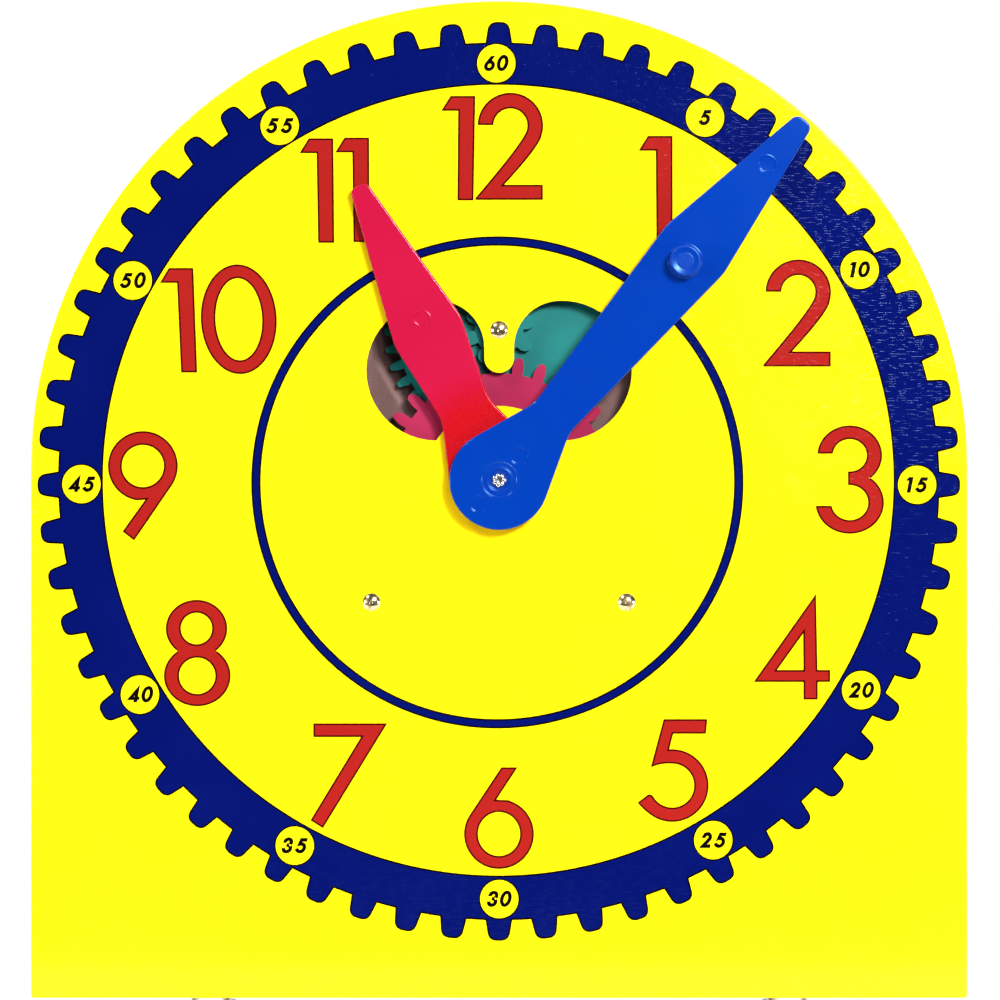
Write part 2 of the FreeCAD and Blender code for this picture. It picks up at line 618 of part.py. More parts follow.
def make_rivet(label, length, placement):
    """Semi-tubular rivet: domed head above Z = 0, shank and rolled-over tail below it."""
    piece = Piece(label, placement)
    head, radius = value("rivet_head_height"), value("rivet_head_radius")
    dome = piece.sketch(plane="XZ_Plane")
    centre = Vector(0, head - value("dome_radius"), 0)
    rim = math.atan2(-centre.y, radius)
    axis = dome.addGeometry(Part.LineSegment(Vector(0, 0, 0), Vector(0, head, 0)), False)
    floor = dome.addGeometry(Part.LineSegment(Vector(radius, 0, 0), Vector(0, 0, 0)), False)
    curve = add_arc(dome, centre, value("dome_radius"), rim, math.pi / 2)
    dome.addConstraint(Sketcher.Constraint("Coincident", axis, 2, curve, 2))
    dome.addConstraint(Sketcher.Constraint("Coincident", floor, 1, curve, 1))
    dome.addConstraint(Sketcher.Constraint("Coincident", floor, 2, axis, 1))
    place_point(dome, axis, 1, "0", "0")
    place_point(dome, axis, 2, "0", "rivet_head_height")
    place_point(dome, floor, 1, "rivet_head_radius", "0")
    set_radius(dome, curve, "dome_radius")
    piece.revolve(dome)
    shank = piece.sketch()
    add_circle(shank, "rivet_radius")
    body = piece.feature("Pad", shank)
    body.setExpression("Length", tied(length))
    body.Reversed = True
    tail = piece.sketch()
    tail.setExpression("AttachmentOffset.Base.z", f"-{tied(length)}")
    add_circle(tail, "clinch_radius")
    rolled = piece.feature("Pad", tail)
    rolled.setExpression("Length", "Sizes.clinch_height")
    rolled.Reversed = True
    end = -value(length) - value("clinch_height")
    piece.round_off("clinch_round", lambda edge: lies_at(edge, end))
    core = piece.sketch()
    core.setExpression("AttachmentOffset.Base.z", f"-{tied(length)} - Sizes.clinch_height")
    add_circle(core, "rivet_core_radius")
    hollow = piece.feature("Pocket", core)
    hollow.setExpression("Length", "Sizes.rivet_core_depth")
    hollow.Reversed = True
    piece.bore("rivet_dimple_radius", "rivet_dimple_z", "rivet_head_height")
    return piece.done()


def make_ring(label, outer, inner, low, top, placement):
    """Flat washer between two heights."""
    piece = Piece(label, placement)
    drawing = piece.sketch(low)
    add_circle(drawing, outer)
    add_circle(drawing, inner)
    piece.pad(drawing, low, top)
    return piece.done()


def make_rivets():
    """The idler's rivet, the two cover rivets, the shaft rivet, and a washer for each."""
    made = []
    for name, x, height in (
        ("idler", "0", "idler_axis_z"),
        ("left_cover", "-cover_rivet_x", "cover_rivet_axis_z"),
        ("right_cover", "cover_rivet_x", "cover_rivet_axis_z"),
    ):
        place = facing_front(height, x=x)
        made.append(make_rivet(f"{name}_rivet", "front_rivet_length", place))
        made.append(
            make_ring(
                f"{name}_rivet_washer", "rivet_washer_radius", "rivet_bore",
                "washer_back_z", "cover_back_z", place,
            )
        )
    facing_back = (
        "placement(vector(0; Sizes.centre_head_y; Sizes.axis_z); rotation(vector(1; 0; 0); -90))"
    )
    made.append(make_rivet("centre_rivet", "centre_rivet_length", facing_back))
    made.append(
        make_ring(
            "centre_rivet_washer", "rivet_washer_radius", "rivet_bore",
            "washer_back_z", "cover_back_z", facing_front("axis_z"),
        )
    )
    for name, height in (("centre", "axis_z"), ("idler", "idler_axis_z")):
        made.append(
            make_ring(
                f"{name}_thrust_washer", "thrust_washer_radius", "rivet_bore",
                "board_back_z", "thrust_top_z", facing_front(height),
            )
        )
    return made


# ---------------------------------------------------------------- gears


def involute(angle):
    """Involute function of an angle in radians."""
    return math.tan(angle) - angle


class Toothing:
    """Tooth form of one toothed layer, worked out from its named cells."""

    def __init__(self, gear, module, sign):
        self.name = gear
        self.module = value(module)
        self.tip_radius = value(f"{gear}_tip")
        self.root_radius = value(f"{gear}_root")
        self.pressure = math.radians(value("pressure_angle"))
        pitch_radius = value(f"{gear}_pitch")
        self.base_radius = pitch_radius * math.cos(self.pressure)
        moved = value("tooth_shift") if sign == "+" else -value("tooth_shift")
        thickness = self.module * (math.pi / 2 + 2 * moved * math.tan(self.pressure))
        self.half_angle = (thickness - value("backlash") / 2) / (2 * pitch_radius)

    def flank_point(self, radius, side):
        """Point of a tooth's flank at a radius. The tooth points along +Y."""
        reach = max(radius, self.base_radius)
        at_radius = involute(math.acos(self.base_radius / reach))
        angle = self.half_angle + involute(self.pressure) - at_radius
        return Vector(side * radius * math.sin(angle), radius * math.cos(angle), 0)

    def draw_tooth(self, drawing, tip_round):
        """One tooth: involute flanks, rounded corners, a tip arc, a root sunk in the blank."""
        sunk = 0.5 * self.module
        start = max(self.base_radius, self.root_radius)
        flank_end = self.tip_radius - tip_round
        middle = (start + flank_end) / 2
        edges = []
        tip_ends = {}
        for side in (-1, 1):
            foot = self.flank_point(self.root_radius - sunk, side)
            base = self.flank_point(start, side)
            flank = self.flank_point(flank_end, side)
            corner = self.flank_point(self.tip_radius, side)
            angle = math.atan2(abs(corner.x), corner.y) - tip_round / self.tip_radius
            tip = Vector(side * math.sin(angle), math.cos(angle), 0) * self.tip_radius
            chord = (flank + tip) / 2
            bulge = chord + (corner - chord) * (math.sqrt(2) - 1)
            edges += [
                Part.LineSegment(foot, base),
                Part.Arc(base, self.flank_point(middle, side), flank),
                Part.Arc(flank, bulge, tip),
            ]
            tip_ends[side] = (foot, tip)
        edges.append(Part.Arc(tip_ends[-1][1], Vector(0, self.tip_radius, 0), tip_ends[1][1]))
        edges.append(Part.LineSegment(tip_ends[-1][0], tip_ends[1][0]))
        for edge in edges:
            number = drawing.addGeometry(edge, False)
            drawing.addConstraint(Sketcher.Constraint("Block", number))


def add_gear(piece, toothing, low, top, tip_round, turn="0"):
    """Toothed layer of a piece: a blank disc with one tooth repeated round it."""
    piece.disc(f"{toothing.name}_root", low, top)
    drawing = piece.sketch(low)
    toothing.draw_tooth(drawing, value(tip_round))
    if turn != "0":
        drawing.setExpression("AttachmentOffset.Rotation.Angle", turn)
    tooth = piece.pad(drawing, low, top)
    piece.around(tooth, f"{toothing.name}_teeth")


def flatten_tube(piece, flat, low, top, turn):
    """Cut two flats on a tube between two heights, turned to suit the hand pressed on it."""
    drawing = piece.sketch(top)
    drawing.setExpression("AttachmentOffset.Rotation.Angle", turn)
    for side in ("", "-"):
        outer, inner = side + "flat_cut_reach", side + flat
        add_polygon(
            drawing,
            [(inner, "-flat_cut_reach"), (outer, "-flat_cut_reach"),
             (outer, "flat_cut_reach"), (inner, "flat_cut_reach")],
        )
    piece.pocket(drawing, low, top)


def make_gears():
    """Hour gear, minute pinion and the two-step idler, with their tubes and bosses."""
    hour, pinion, wheel, minute = [
        Toothing(gear, module, sign) for gear, module, _, sign in TOOTHED
    ]

    piece = Piece("hour_gear", facing_front("axis_z", "Sizes.hour_tooth_angle"))
    add_gear(piece, hour, "front_low_z", "front_top_z", "hour_tip_round")
    piece.disc("boss_radius", "front_low_z", "boss_top_z")
    piece.disc("hour_tube_radius", "front_low_z", "hour_tube_z")
    flatten_tube(piece, "hour_flat", "hour_seat_z", "hour_tube_z",
                 "-Sizes.hour_angle - Sizes.hour_tooth_angle")
    piece.bore("hour_bore", "front_low_z", "hour_tube_z")
    made = [piece.done()]

    piece = Piece("idler_gear", facing_front("idler_axis_z", "Sizes.idler_turn"))
    add_gear(piece, wheel, "rear_low_z", "rear_top_z", "fine_tip_round",
             "Sizes.wheel_tooth_angle - 90 - Sizes.idler_turn")
    piece.disc("idler_neck_radius", "rear_low_z", "front_top_z")
    add_gear(piece, pinion, "front_low_z", "front_top_z", "idler_pinion_tip_round")
    piece.disc("boss_radius", "front_low_z", "boss_top_z")
    piece.disc("boss_radius", "boss_low_z", "rear_top_z")
    piece.bore("rivet_bore", "boss_low_z", "boss_top_z")
    made.append(piece.done())

    piece = Piece("minute_pinion", facing_front("axis_z", "Sizes.minute_turn"))
    add_gear(piece, minute, "rear_low_z", "rear_top_z", "fine_tip_round")
    piece.disc("boss_radius", "boss_low_z", "rear_top_z")
    piece.disc("minute_tube_radius", "rear_low_z", "minute_tube_z")
    flatten_tube(piece, "minute_flat", "minute_seat_z", "minute_tube_z",
                 "-Sizes.minute_angle - Sizes.minute_turn")
    piece.bore("rivet_bore", "boss_low_z", "minute_tube_z")
    made.append(piece.done())
    return made


# ---------------------------------------------------------------- hands


def hand_blade(piece, name, low, top):
    """Flat blade and round hub of a hand, pointing along +Y, with its curves rounded."""
    half = [f"{name}_{part}_half" for part in ("flare", "neck", "belly", "tip")]
    reach = [f"{name}_flare_y", f"{name}_neck_y", f"{name}_belly_y", f"{name}_length"]
    right = list(zip(half, reach))
    left = [("-" + x, y) for x, y in reversed(right)]
    drawing = piece.sketch(low)
    add_polygon(drawing, right + left)
    piece.pad(drawing, low, top)
    for radius, place in (
        ("neck_round", f"{name}_neck_y"),
        ("belly_round", f"{name}_belly_y"),
        (f"{name}_tip_corner", f"{name}_length"),
    ):
        distance = value(place)
        piece.round_off(
            radius,
            lambda edge, at=distance: is_upright(edge) and abs(edge.CenterOfMass.y - at) < 0.01,
        )
    piece.disc("hand_hub_radius", low, top)
    level = value(top)
    piece.round_off("hand_edge_round", lambda edge: lies_at(edge, level))


def cut_socket(piece, radius, flat, low, top):
    """Through hole with two flats, the seat of the hand on its tube."""
    drawing = piece.sketch(top)
    round_radius, flat_x = value(radius), value(flat)
    corner = math.acos(flat_x / round_radius)
    upper = add_arc(drawing, Vector(0, 0, 0), round_radius, corner, math.pi - corner)
    lower = add_arc(drawing, Vector(0, 0, 0), round_radius, math.pi + corner, 2 * math.pi - corner)
    corner_y = round_radius * math.sin(corner)
    right = drawing.addGeometry(
        Part.LineSegment(Vector(flat_x, -corner_y, 0), Vector(flat_x, corner_y, 0)), False
    )
    left = drawing.addGeometry(
        Part.LineSegment(Vector(-flat_x, corner_y, 0), Vector(-flat_x, -corner_y, 0)), False
    )
    for first, first_point, second, second_point in (
        (right, 2, upper, 1), (upper, 2, left, 1), (left, 2, lower, 1), (lower, 2, right, 1),
    ):
        drawing.addConstraint(
            Sketcher.Constraint("Coincident", first, first_point, second, second_point)
        )
    for arc in (upper, lower):
        drawing.addConstraint(Sketcher.Constraint("Coincident", arc, 3, -1, 1))
        set_radius(drawing, arc, radius)
    for line, name in ((right, flat), (left, "-" + flat)):
        drawing.addConstraint(Sketcher.Constraint("Vertical", line))
        number = drawing.addConstraint(
            Sketcher.Constraint("DistanceX", -1, 1, line, 1, value(name))
        )
        drawing.setExpression(f"Constraints[{number}]", tied(name))
    piece.pocket(drawing, low, top)


def make_hour_hand():
    """Short hand with its thrust boss, its drive socket and its moulding mark."""
    piece = Piece("hour_hand", facing_front("axis_z", "-Sizes.hour_angle"))
    hand_blade(piece, "hour", "hour_low_z", "hour_top_z")
    piece.disc("boss_radius", "hour_seat_z", "hour_top_z")
    cut_socket(piece, "hour_socket", "hour_socket_flat", "hour_seat_z", "hour_top_z")
    piece.ring_cut("mark_inner", "mark_radius", "hour_mark_z", "hour_top_z", "0", "hour_mark_y")
    return piece.done()


def make_minute_hand():
    """Long hand with its knob, its hub dish, its drive socket and its moulding marks."""
    piece = Piece("minute_hand", facing_front("axis_z", "-Sizes.minute_angle"))
    hand_blade(piece, "minute", "minute_low_z", "minute_top_z")
    piece.disc("boss_radius", "minute_seat_z", "minute_top_z")
    piece.disc("knob_radius", "minute_low_z", "knob_top_z", "0", "knob_distance")
    foot, rim = value("minute_top_z"), value("knob_top_z")
    knob = Vector(0, value("knob_distance"), 0)

    def round_knob(height):
        def wanted(edge):
            centre = edge.CenterOfMass
            near = math.hypot(centre.x, centre.y - knob.y) < value("knob_radius") + 0.01
            return lies_at(edge, height) and near
        return wanted

    piece.round_off("knob_foot_round", round_knob(foot))
    piece.round_off("knob_rim_round", round_knob(rim))
    piece.bore("knob_dish_radius", "knob_dish_z", "knob_top_z", "0", "knob_distance")
    piece.disc("knob_button_radius", "knob_dish_z", "knob_button_z", "0", "knob_distance")
    piece.bore("hub_dish_radius", "minute_dish_z", "minute_top_z")
    cut_socket(piece, "minute_socket", "minute_socket_flat", "minute_seat_z", "minute_top_z")
    for y in ("-minute_mark_low", "minute_mark_low", "minute_mark_high"):
        piece.ring_cut("mark_inner", "mark_radius", "minute_mark_z", "minute_top_z", "0", y)
    return piece.done()


# ---------------------------------------------------------------- feet


def make_foot(side, x):
    """Steel strip with a raised middle, which swings on its screw under the board."""
    made = []
    piece = Piece(f"{side}_foot", upright(x))
    profile = piece.sketch(plane="YZ_Plane")
    add_polygon(
        profile,
        [
            ("-foot_half", "0"), ("-foot_ramp_end", "0"),
            ("-foot_seat_half", "foot_rise"), ("foot_seat_half", "foot_rise"),
            ("foot_ramp_end", "0"), ("foot_half", "0"),
            ("foot_half", "foot_thick"), ("foot_ramp_end", "foot_thick"),
            ("foot_seat_half", "foot_middle_top"), ("-foot_seat_half", "foot_middle_top"),
            ("-foot_ramp_end", "foot_thick"), ("-foot_half", "foot_thick"),
        ],
    )
    strip = piece.feature("Pad", profile)
    strip.setExpression("Length", "Sizes.foot_width")
    strip.Midplane = True

    def at_bend(edge):
        across = isinstance(edge.Curve, Part.Line)
        across = across and abs(edge.tangentAt(edge.FirstParameter).x) > 0.999
        return across and abs(edge.CenterOfMass.y) < value("foot_ramp_end") + 0.01

    piece.round_off("foot_bend_round", at_bend)
    piece.round_off("foot_end_round", is_upright)
    drawing = piece.sketch("foot_middle_top")
    add_circle(drawing, "foot_hole_radius")
    piece.pocket(drawing, "0", "foot_middle_top")
    made.append(piece.done())

    piece = Piece(f"{side}_foot_screw", upright(x))
    piece.disc("screw_head_radius", "screw_head_low", "screw_washer_low")
    bottom = value("screw_head_low")
    piece.round_off("screw_head_round", lambda edge: lies_at(edge, bottom))
    piece.disc("screw_radius", "screw_head_low", "screw_end_z")
    top = value("screw_end_z")
    piece.round_off("screw_point_round", lambda edge: lies_at(edge, top))
    cross = piece.sketch("screw_slot_top")
    long, short = "screw_slot_half", "slot_half_width"
    add_polygon(
        cross,
        [
            (short, short), (short, long), ("-" + short, long), ("-" + short, short),
            ("-" + long, short), ("-" + long, "-" + short), ("-" + short, "-" + short),
            ("-" + short, "-" + long), (short, "-" + long), (short, "-" + short),
            (long, "-" + short), (long, short),
        ],
    )
    piece.pocket(cross, "screw_head_low", "screw_slot_top")
    made.append(piece.done())

    place = upright(x)
    for name, low, high in (
        ("foot_spacer", "spacer_low", "board_lift"),
        ("foot_screw_washer", "screw_washer_low", "screw_washer_top"),
    ):
        made.append(
            make_ring(f"{side}_{name}", "foot_washer_radius", "pilot_radius", low, high, place)
        )
    return made


def check_and_write(bodies):
    """Stop on any failed object or bad shape, then write one STEP file for each piece."""
    doc.recompute()
    for item in doc.Objects:
        if "Invalid" in item.State or "Error" in item.State:
            raise RuntimeError(f"{item.Label} failed: {item.State}")
    for body in bodies:
        shape = body.Shape
        if shape.isNull() or not shape.isValid() or len(shape.Solids) != 1:
            raise RuntimeError(f"{body.Label} has no single valid solid")
    os.makedirs("parts", exist_ok=True)
    for body in bodies:
        body.Shape.exportStep(os.path.join("parts", f"{body.Label}.step"))
        print(f"{body.Label}: {body.Shape.Volume:.1f} mm3")


fill_sheet()
pieces = [make_face_board(), make_back_cover()]
pieces += make_rivets()
pieces += make_gears()
pieces += [make_hour_hand(), make_minute_hand()]
for side, x in (("left", "-foot_x"), ("right", "foot_x")):
    pieces += make_foot(side, x)
check_and_write(pieces)
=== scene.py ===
"""Looks of the geared teaching clock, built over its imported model."""

import logging
import math
from collections.abc import Iterable, Mapping, Sequence
from dataclasses import dataclass
from enum import Enum
from typing import Any

import bmesh
import bpy
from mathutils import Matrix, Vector
from mathutils.geometry import tessellate_polygon

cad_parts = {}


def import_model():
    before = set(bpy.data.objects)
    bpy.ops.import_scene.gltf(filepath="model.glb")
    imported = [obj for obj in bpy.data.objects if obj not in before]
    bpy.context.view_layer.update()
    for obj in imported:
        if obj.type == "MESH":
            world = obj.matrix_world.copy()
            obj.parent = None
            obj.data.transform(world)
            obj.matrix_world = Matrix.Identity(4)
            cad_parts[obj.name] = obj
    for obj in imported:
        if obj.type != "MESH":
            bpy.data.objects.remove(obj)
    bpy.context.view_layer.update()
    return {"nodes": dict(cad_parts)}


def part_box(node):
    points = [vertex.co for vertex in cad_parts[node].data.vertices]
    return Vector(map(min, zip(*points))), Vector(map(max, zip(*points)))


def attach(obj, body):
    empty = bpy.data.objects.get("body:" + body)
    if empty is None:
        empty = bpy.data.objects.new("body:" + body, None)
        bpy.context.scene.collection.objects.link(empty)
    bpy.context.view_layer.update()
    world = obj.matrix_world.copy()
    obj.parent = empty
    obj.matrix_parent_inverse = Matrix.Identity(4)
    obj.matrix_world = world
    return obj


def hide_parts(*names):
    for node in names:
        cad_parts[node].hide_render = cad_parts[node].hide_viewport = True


MM = 0.001
SAME_CORNER = 1e-4  # corners nearer than this, in millimetres, are one
SHARPEST_TURN = 0.15  # keeps the corners of a grown outline from running far out
NEARLY_STRAIGHT = 150.0  # degrees above which a corner isn't rounded
SIDE_SHARE = 0.45  # most of a side that a rounded corner takes
CORNER_STEPS = 4
CURVE_STEPS = 8
ARC_STEP = 4.0  # degrees of arc for each side
FEWEST_SIDES = 3
FINE_SIDES = 360
SAME_VERTEX = 1e-7  # mesh points nearer than this, in metres, are one
Point = tuple[float, float]
Place = tuple[float, float, float]
Colour = tuple[float, float, float]
Row = list[bmesh.types.BMVert]
log = logging.getLogger("teaching_clock")


# ---------------------------------------------------------------- outlines


def on_curve(start: Vector, bend: Vector, end: Vector, share: float) -> Point:
    """Find a place on a smooth curve.

    Args:
        start: First point of the curve.
        bend: Point that the curve leans towards.
        end: Last point of the curve.
        share: How far along the curve the place is, from 0 to 1.

    Returns:
        The place.
    """
    return tuple(start.lerp(bend, share).lerp(bend.lerp(end, share), share))


@dataclass(frozen=True)
class Outline:
    """Closed outline in millimetres, X to the right and Y up, running counter-clockwise."""

    points: tuple[Point, ...]

    @staticmethod
    def through(points: Iterable[Point]) -> "Outline":
        """Make an outline, turned to run counter-clockwise.

        Args:
            points: Corners in order, either way round.

        Returns:
            The outline, without repeated corners.
        """
        kept: list[Point] = []
        for point in points:
            if not kept or math.dist(point, kept[-1]) > SAME_CORNER:
                kept.append(point)
        if math.dist(kept[0], kept[-1]) <= SAME_CORNER:
            kept.pop()
        area = sum(
            a[0] * b[1] - b[0] * a[1] for a, b in zip(kept, kept[1:] + kept[:1], strict=True)
        )
        return Outline(tuple(kept if area > 0 else reversed(kept)))

    def neighbours(self) -> list[tuple[Vector, Vector, Vector]]:
        """List each corner with the corners before and after it."""
        points = [Vector(point) for point in self.points]
        return list(zip(points[-1:] + points[:-1], points, points[1:] + points[:1], strict=True))

    def grown(self, distance: float) -> "Outline":
        """Move every side outwards.

        Args:
            distance: How far, in millimetres. A negative distance moves the sides inwards.

        Returns:
            The moved outline.
        """
        moved = []
        for before, here, after in self.neighbours():
            first, second = (here - before).normalized(), (after - here).normalized()
            sides = Vector((first.y, -first.x)), Vector((second.y, -second.x))
            spread = max(SHARPEST_TURN, 1.0 + sides[0].dot(sides[1]))
            moved.append(tuple(here + (sides[0] + sides[1]) * (distance / spread)))
        return Outline.through(moved)

    def rounded(self, radius: float) -> "Outline":
        """Soften every sharp corner.

        Args:
            radius: Length taken off each side of a corner, in millimetres.

        Returns:
            The softened outline.
        """
        soft: list[Point] = []
        for before, here, after in self.neighbours():
            back, ahead = before - here, after - here
            if back.angle(ahead) > math.radians(NEARLY_STRAIGHT):
                soft.append(tuple(here))
                continue
            start = here + back.normalized() * min(radius, SIDE_SHARE * back.length)
            end = here + ahead.normalized() * min(radius, SIDE_SHARE * ahead.length)
            soft += [on_curve(start, here, end, step / CORNER_STEPS)
                     for step in range(CORNER_STEPS + 1)]
        return Outline.through(soft)

    def placed(self, shift: Point, scale: Point = (1.0, 1.0), lean: float = 0.0) -> "Outline":
        """Scale, lean and move the outline.

        Args:
            shift: Where the outline's own origin goes, in millimetres.
            scale: Factors along X and Y.
            lean: Angle from upright, in degrees. A positive lean is to the right.

        Returns:
            The placed outline.
        """
        slope = math.tan(math.radians(lean))
        return Outline.through(
            (shift[0] + x * scale[0] + y * scale[1] * slope, shift[1] + y * scale[1])
            for x, y in self.points
        )


@dataclass(frozen=True)
class Shape:
    """Outline with its holes."""

    rim: Outline
    holes: tuple[Outline, ...] = ()

    def grown(self, distance: float) -> "Shape":
        """Move the rim outwards and the holes' sides inwards by a distance in millimetres."""
        return Shape(self.rim.grown(distance), tuple(h.grown(-distance) for h in self.holes))

    def rounded(self, radius: float) -> "Shape":
        """Soften the sharp corners of the rim and the holes by a length in millimetres."""
        return Shape(self.rim.rounded(radius), tuple(h.rounded(radius) for h in self.holes))

    def placed(self, shift: Point, scale: Point = (1.0, 1.0), lean: float = 0.0) -> "Shape":
        """Scale, lean and move the rim and the holes, as Outline.placed does."""
        holes = tuple(hole.placed(shift, scale, lean) for hole in self.holes)
        return Shape(self.rim.placed(shift, scale, lean), holes)

    def span(self) -> Point:
        """Give the lowest and the highest X of the rim."""
        across = [x for x, _ in self.rim.points]
        return min(across), max(across)


class Pen:
    """Draws one closed outline of lines, arcs and curves, in millimetres."""

    def __init__(self, *points: Point) -> None:
        """Start at the first point and go straight through the others."""
        self.points: list[Point] = list(points)

    def line(self, *points: Point) -> "Pen":
        """Go straight through more points."""
        self.points += points
        return self

    def arc(self, centre: Point, radii: Point, start: float, end: float) -> "Pen":
        """Follow an arc of a circle or an ellipse.

        Args:
            centre: Centre of the arc.
            radii: Radii along X and Y.
            start: Angle of the first point, in degrees from the right, counter-clockwise.
            end: Angle of the last point. Below the start, the arc runs clockwise.

        Returns:
            The pen itself.
        """
        steps = max(FEWEST_SIDES, round(abs(end - start) / ARC_STEP))
        for step in range(steps + 1):
            angle = math.radians(start + (end - start) * step / steps)
            self.points.append(
                (centre[0] + radii[0] * math.cos(angle), centre[1] + radii[1] * math.sin(angle))
            )
        return self

    def curve(self, bend: Point, end: Point) -> "Pen":
        """Follow a smooth curve.

        Args:
            bend: Point that the curve leans towards.
            end: Last point of the curve.

        Returns:
            The pen itself.
        """
        start, middle, last = Vector(self.points[-1]), Vector(bend), Vector(end)
        self.points += [on_curve(start, middle, last, step / CURVE_STEPS)
                        for step in range(1, CURVE_STEPS + 1)]
        return self

    def bend(self, corner: Point, after: Point, radius: float) -> "Pen":
        """Go towards a corner and round it into the next side.

        Args:
            corner: Where the two sides would meet.
            after: Point that the next side runs to.
            radius: Radius of the round, which touches both sides.

        Returns:
            The pen itself.
        """
        turn = Vector(corner)
        back = (Vector(self.points[-1]) - turn).normalized()
        ahead = (Vector(after) - turn).normalized()
        half = back.angle(ahead) / 2
        centre = turn + (back + ahead).normalized() * (radius / math.sin(half))
        ends = [turn + side * (radius / math.tan(half)) - centre for side in (back, ahead)]
        start, end = (math.degrees(math.atan2(spoke.y, spoke.x)) for spoke in ends)
        sweep = (end - start + 180.0) % 360.0 - 180.0
        return self.arc(tuple(centre), (radius, radius), start, start + sweep)

    def outline(self) -> Outline:
        """Close the outline."""
        return Outline.through(self.points)


def ring(centre: Point, radii: Point) -> Outline:
    """Make a full circle or ellipse about a centre, with radii along X and Y."""
    return Pen().arc(centre, radii, 0.0, 360.0).outline()


def fine_ring(centre: Point, radius: float) -> Outline:
    """Make a large circle of short sides.

    Args:
        centre: Centre of the circle.
        radius: Radius of the circle, in millimetres.

    Returns:
        The circle.
    """
    return Outline.through(
        (centre[0] + radius * math.cos(math.tau * side / FINE_SIDES),
         centre[1] + radius * math.sin(math.tau * side / FINE_SIDES))
        for side in range(FINE_SIDES)
    )


def touch_angle(centre: Point, radius: float, point: Point, side: int) -> float:
    """Find where a line from a point touches a circle.

    Args:
        centre: Centre of the circle.
        radius: Radius of the circle.
        point: Point outside the circle.
        side: 1 for the touch counter-clockwise of the line to the point, -1 for the other.

    Returns:
        Angle of the touch on the circle, in degrees.
    """
    towards = math.atan2(point[1] - centre[1], point[0] - centre[0])
    return math.degrees(towards + side * math.acos(radius / math.dist(centre, point)))


# ---------------------------------------------------------------- printed figures


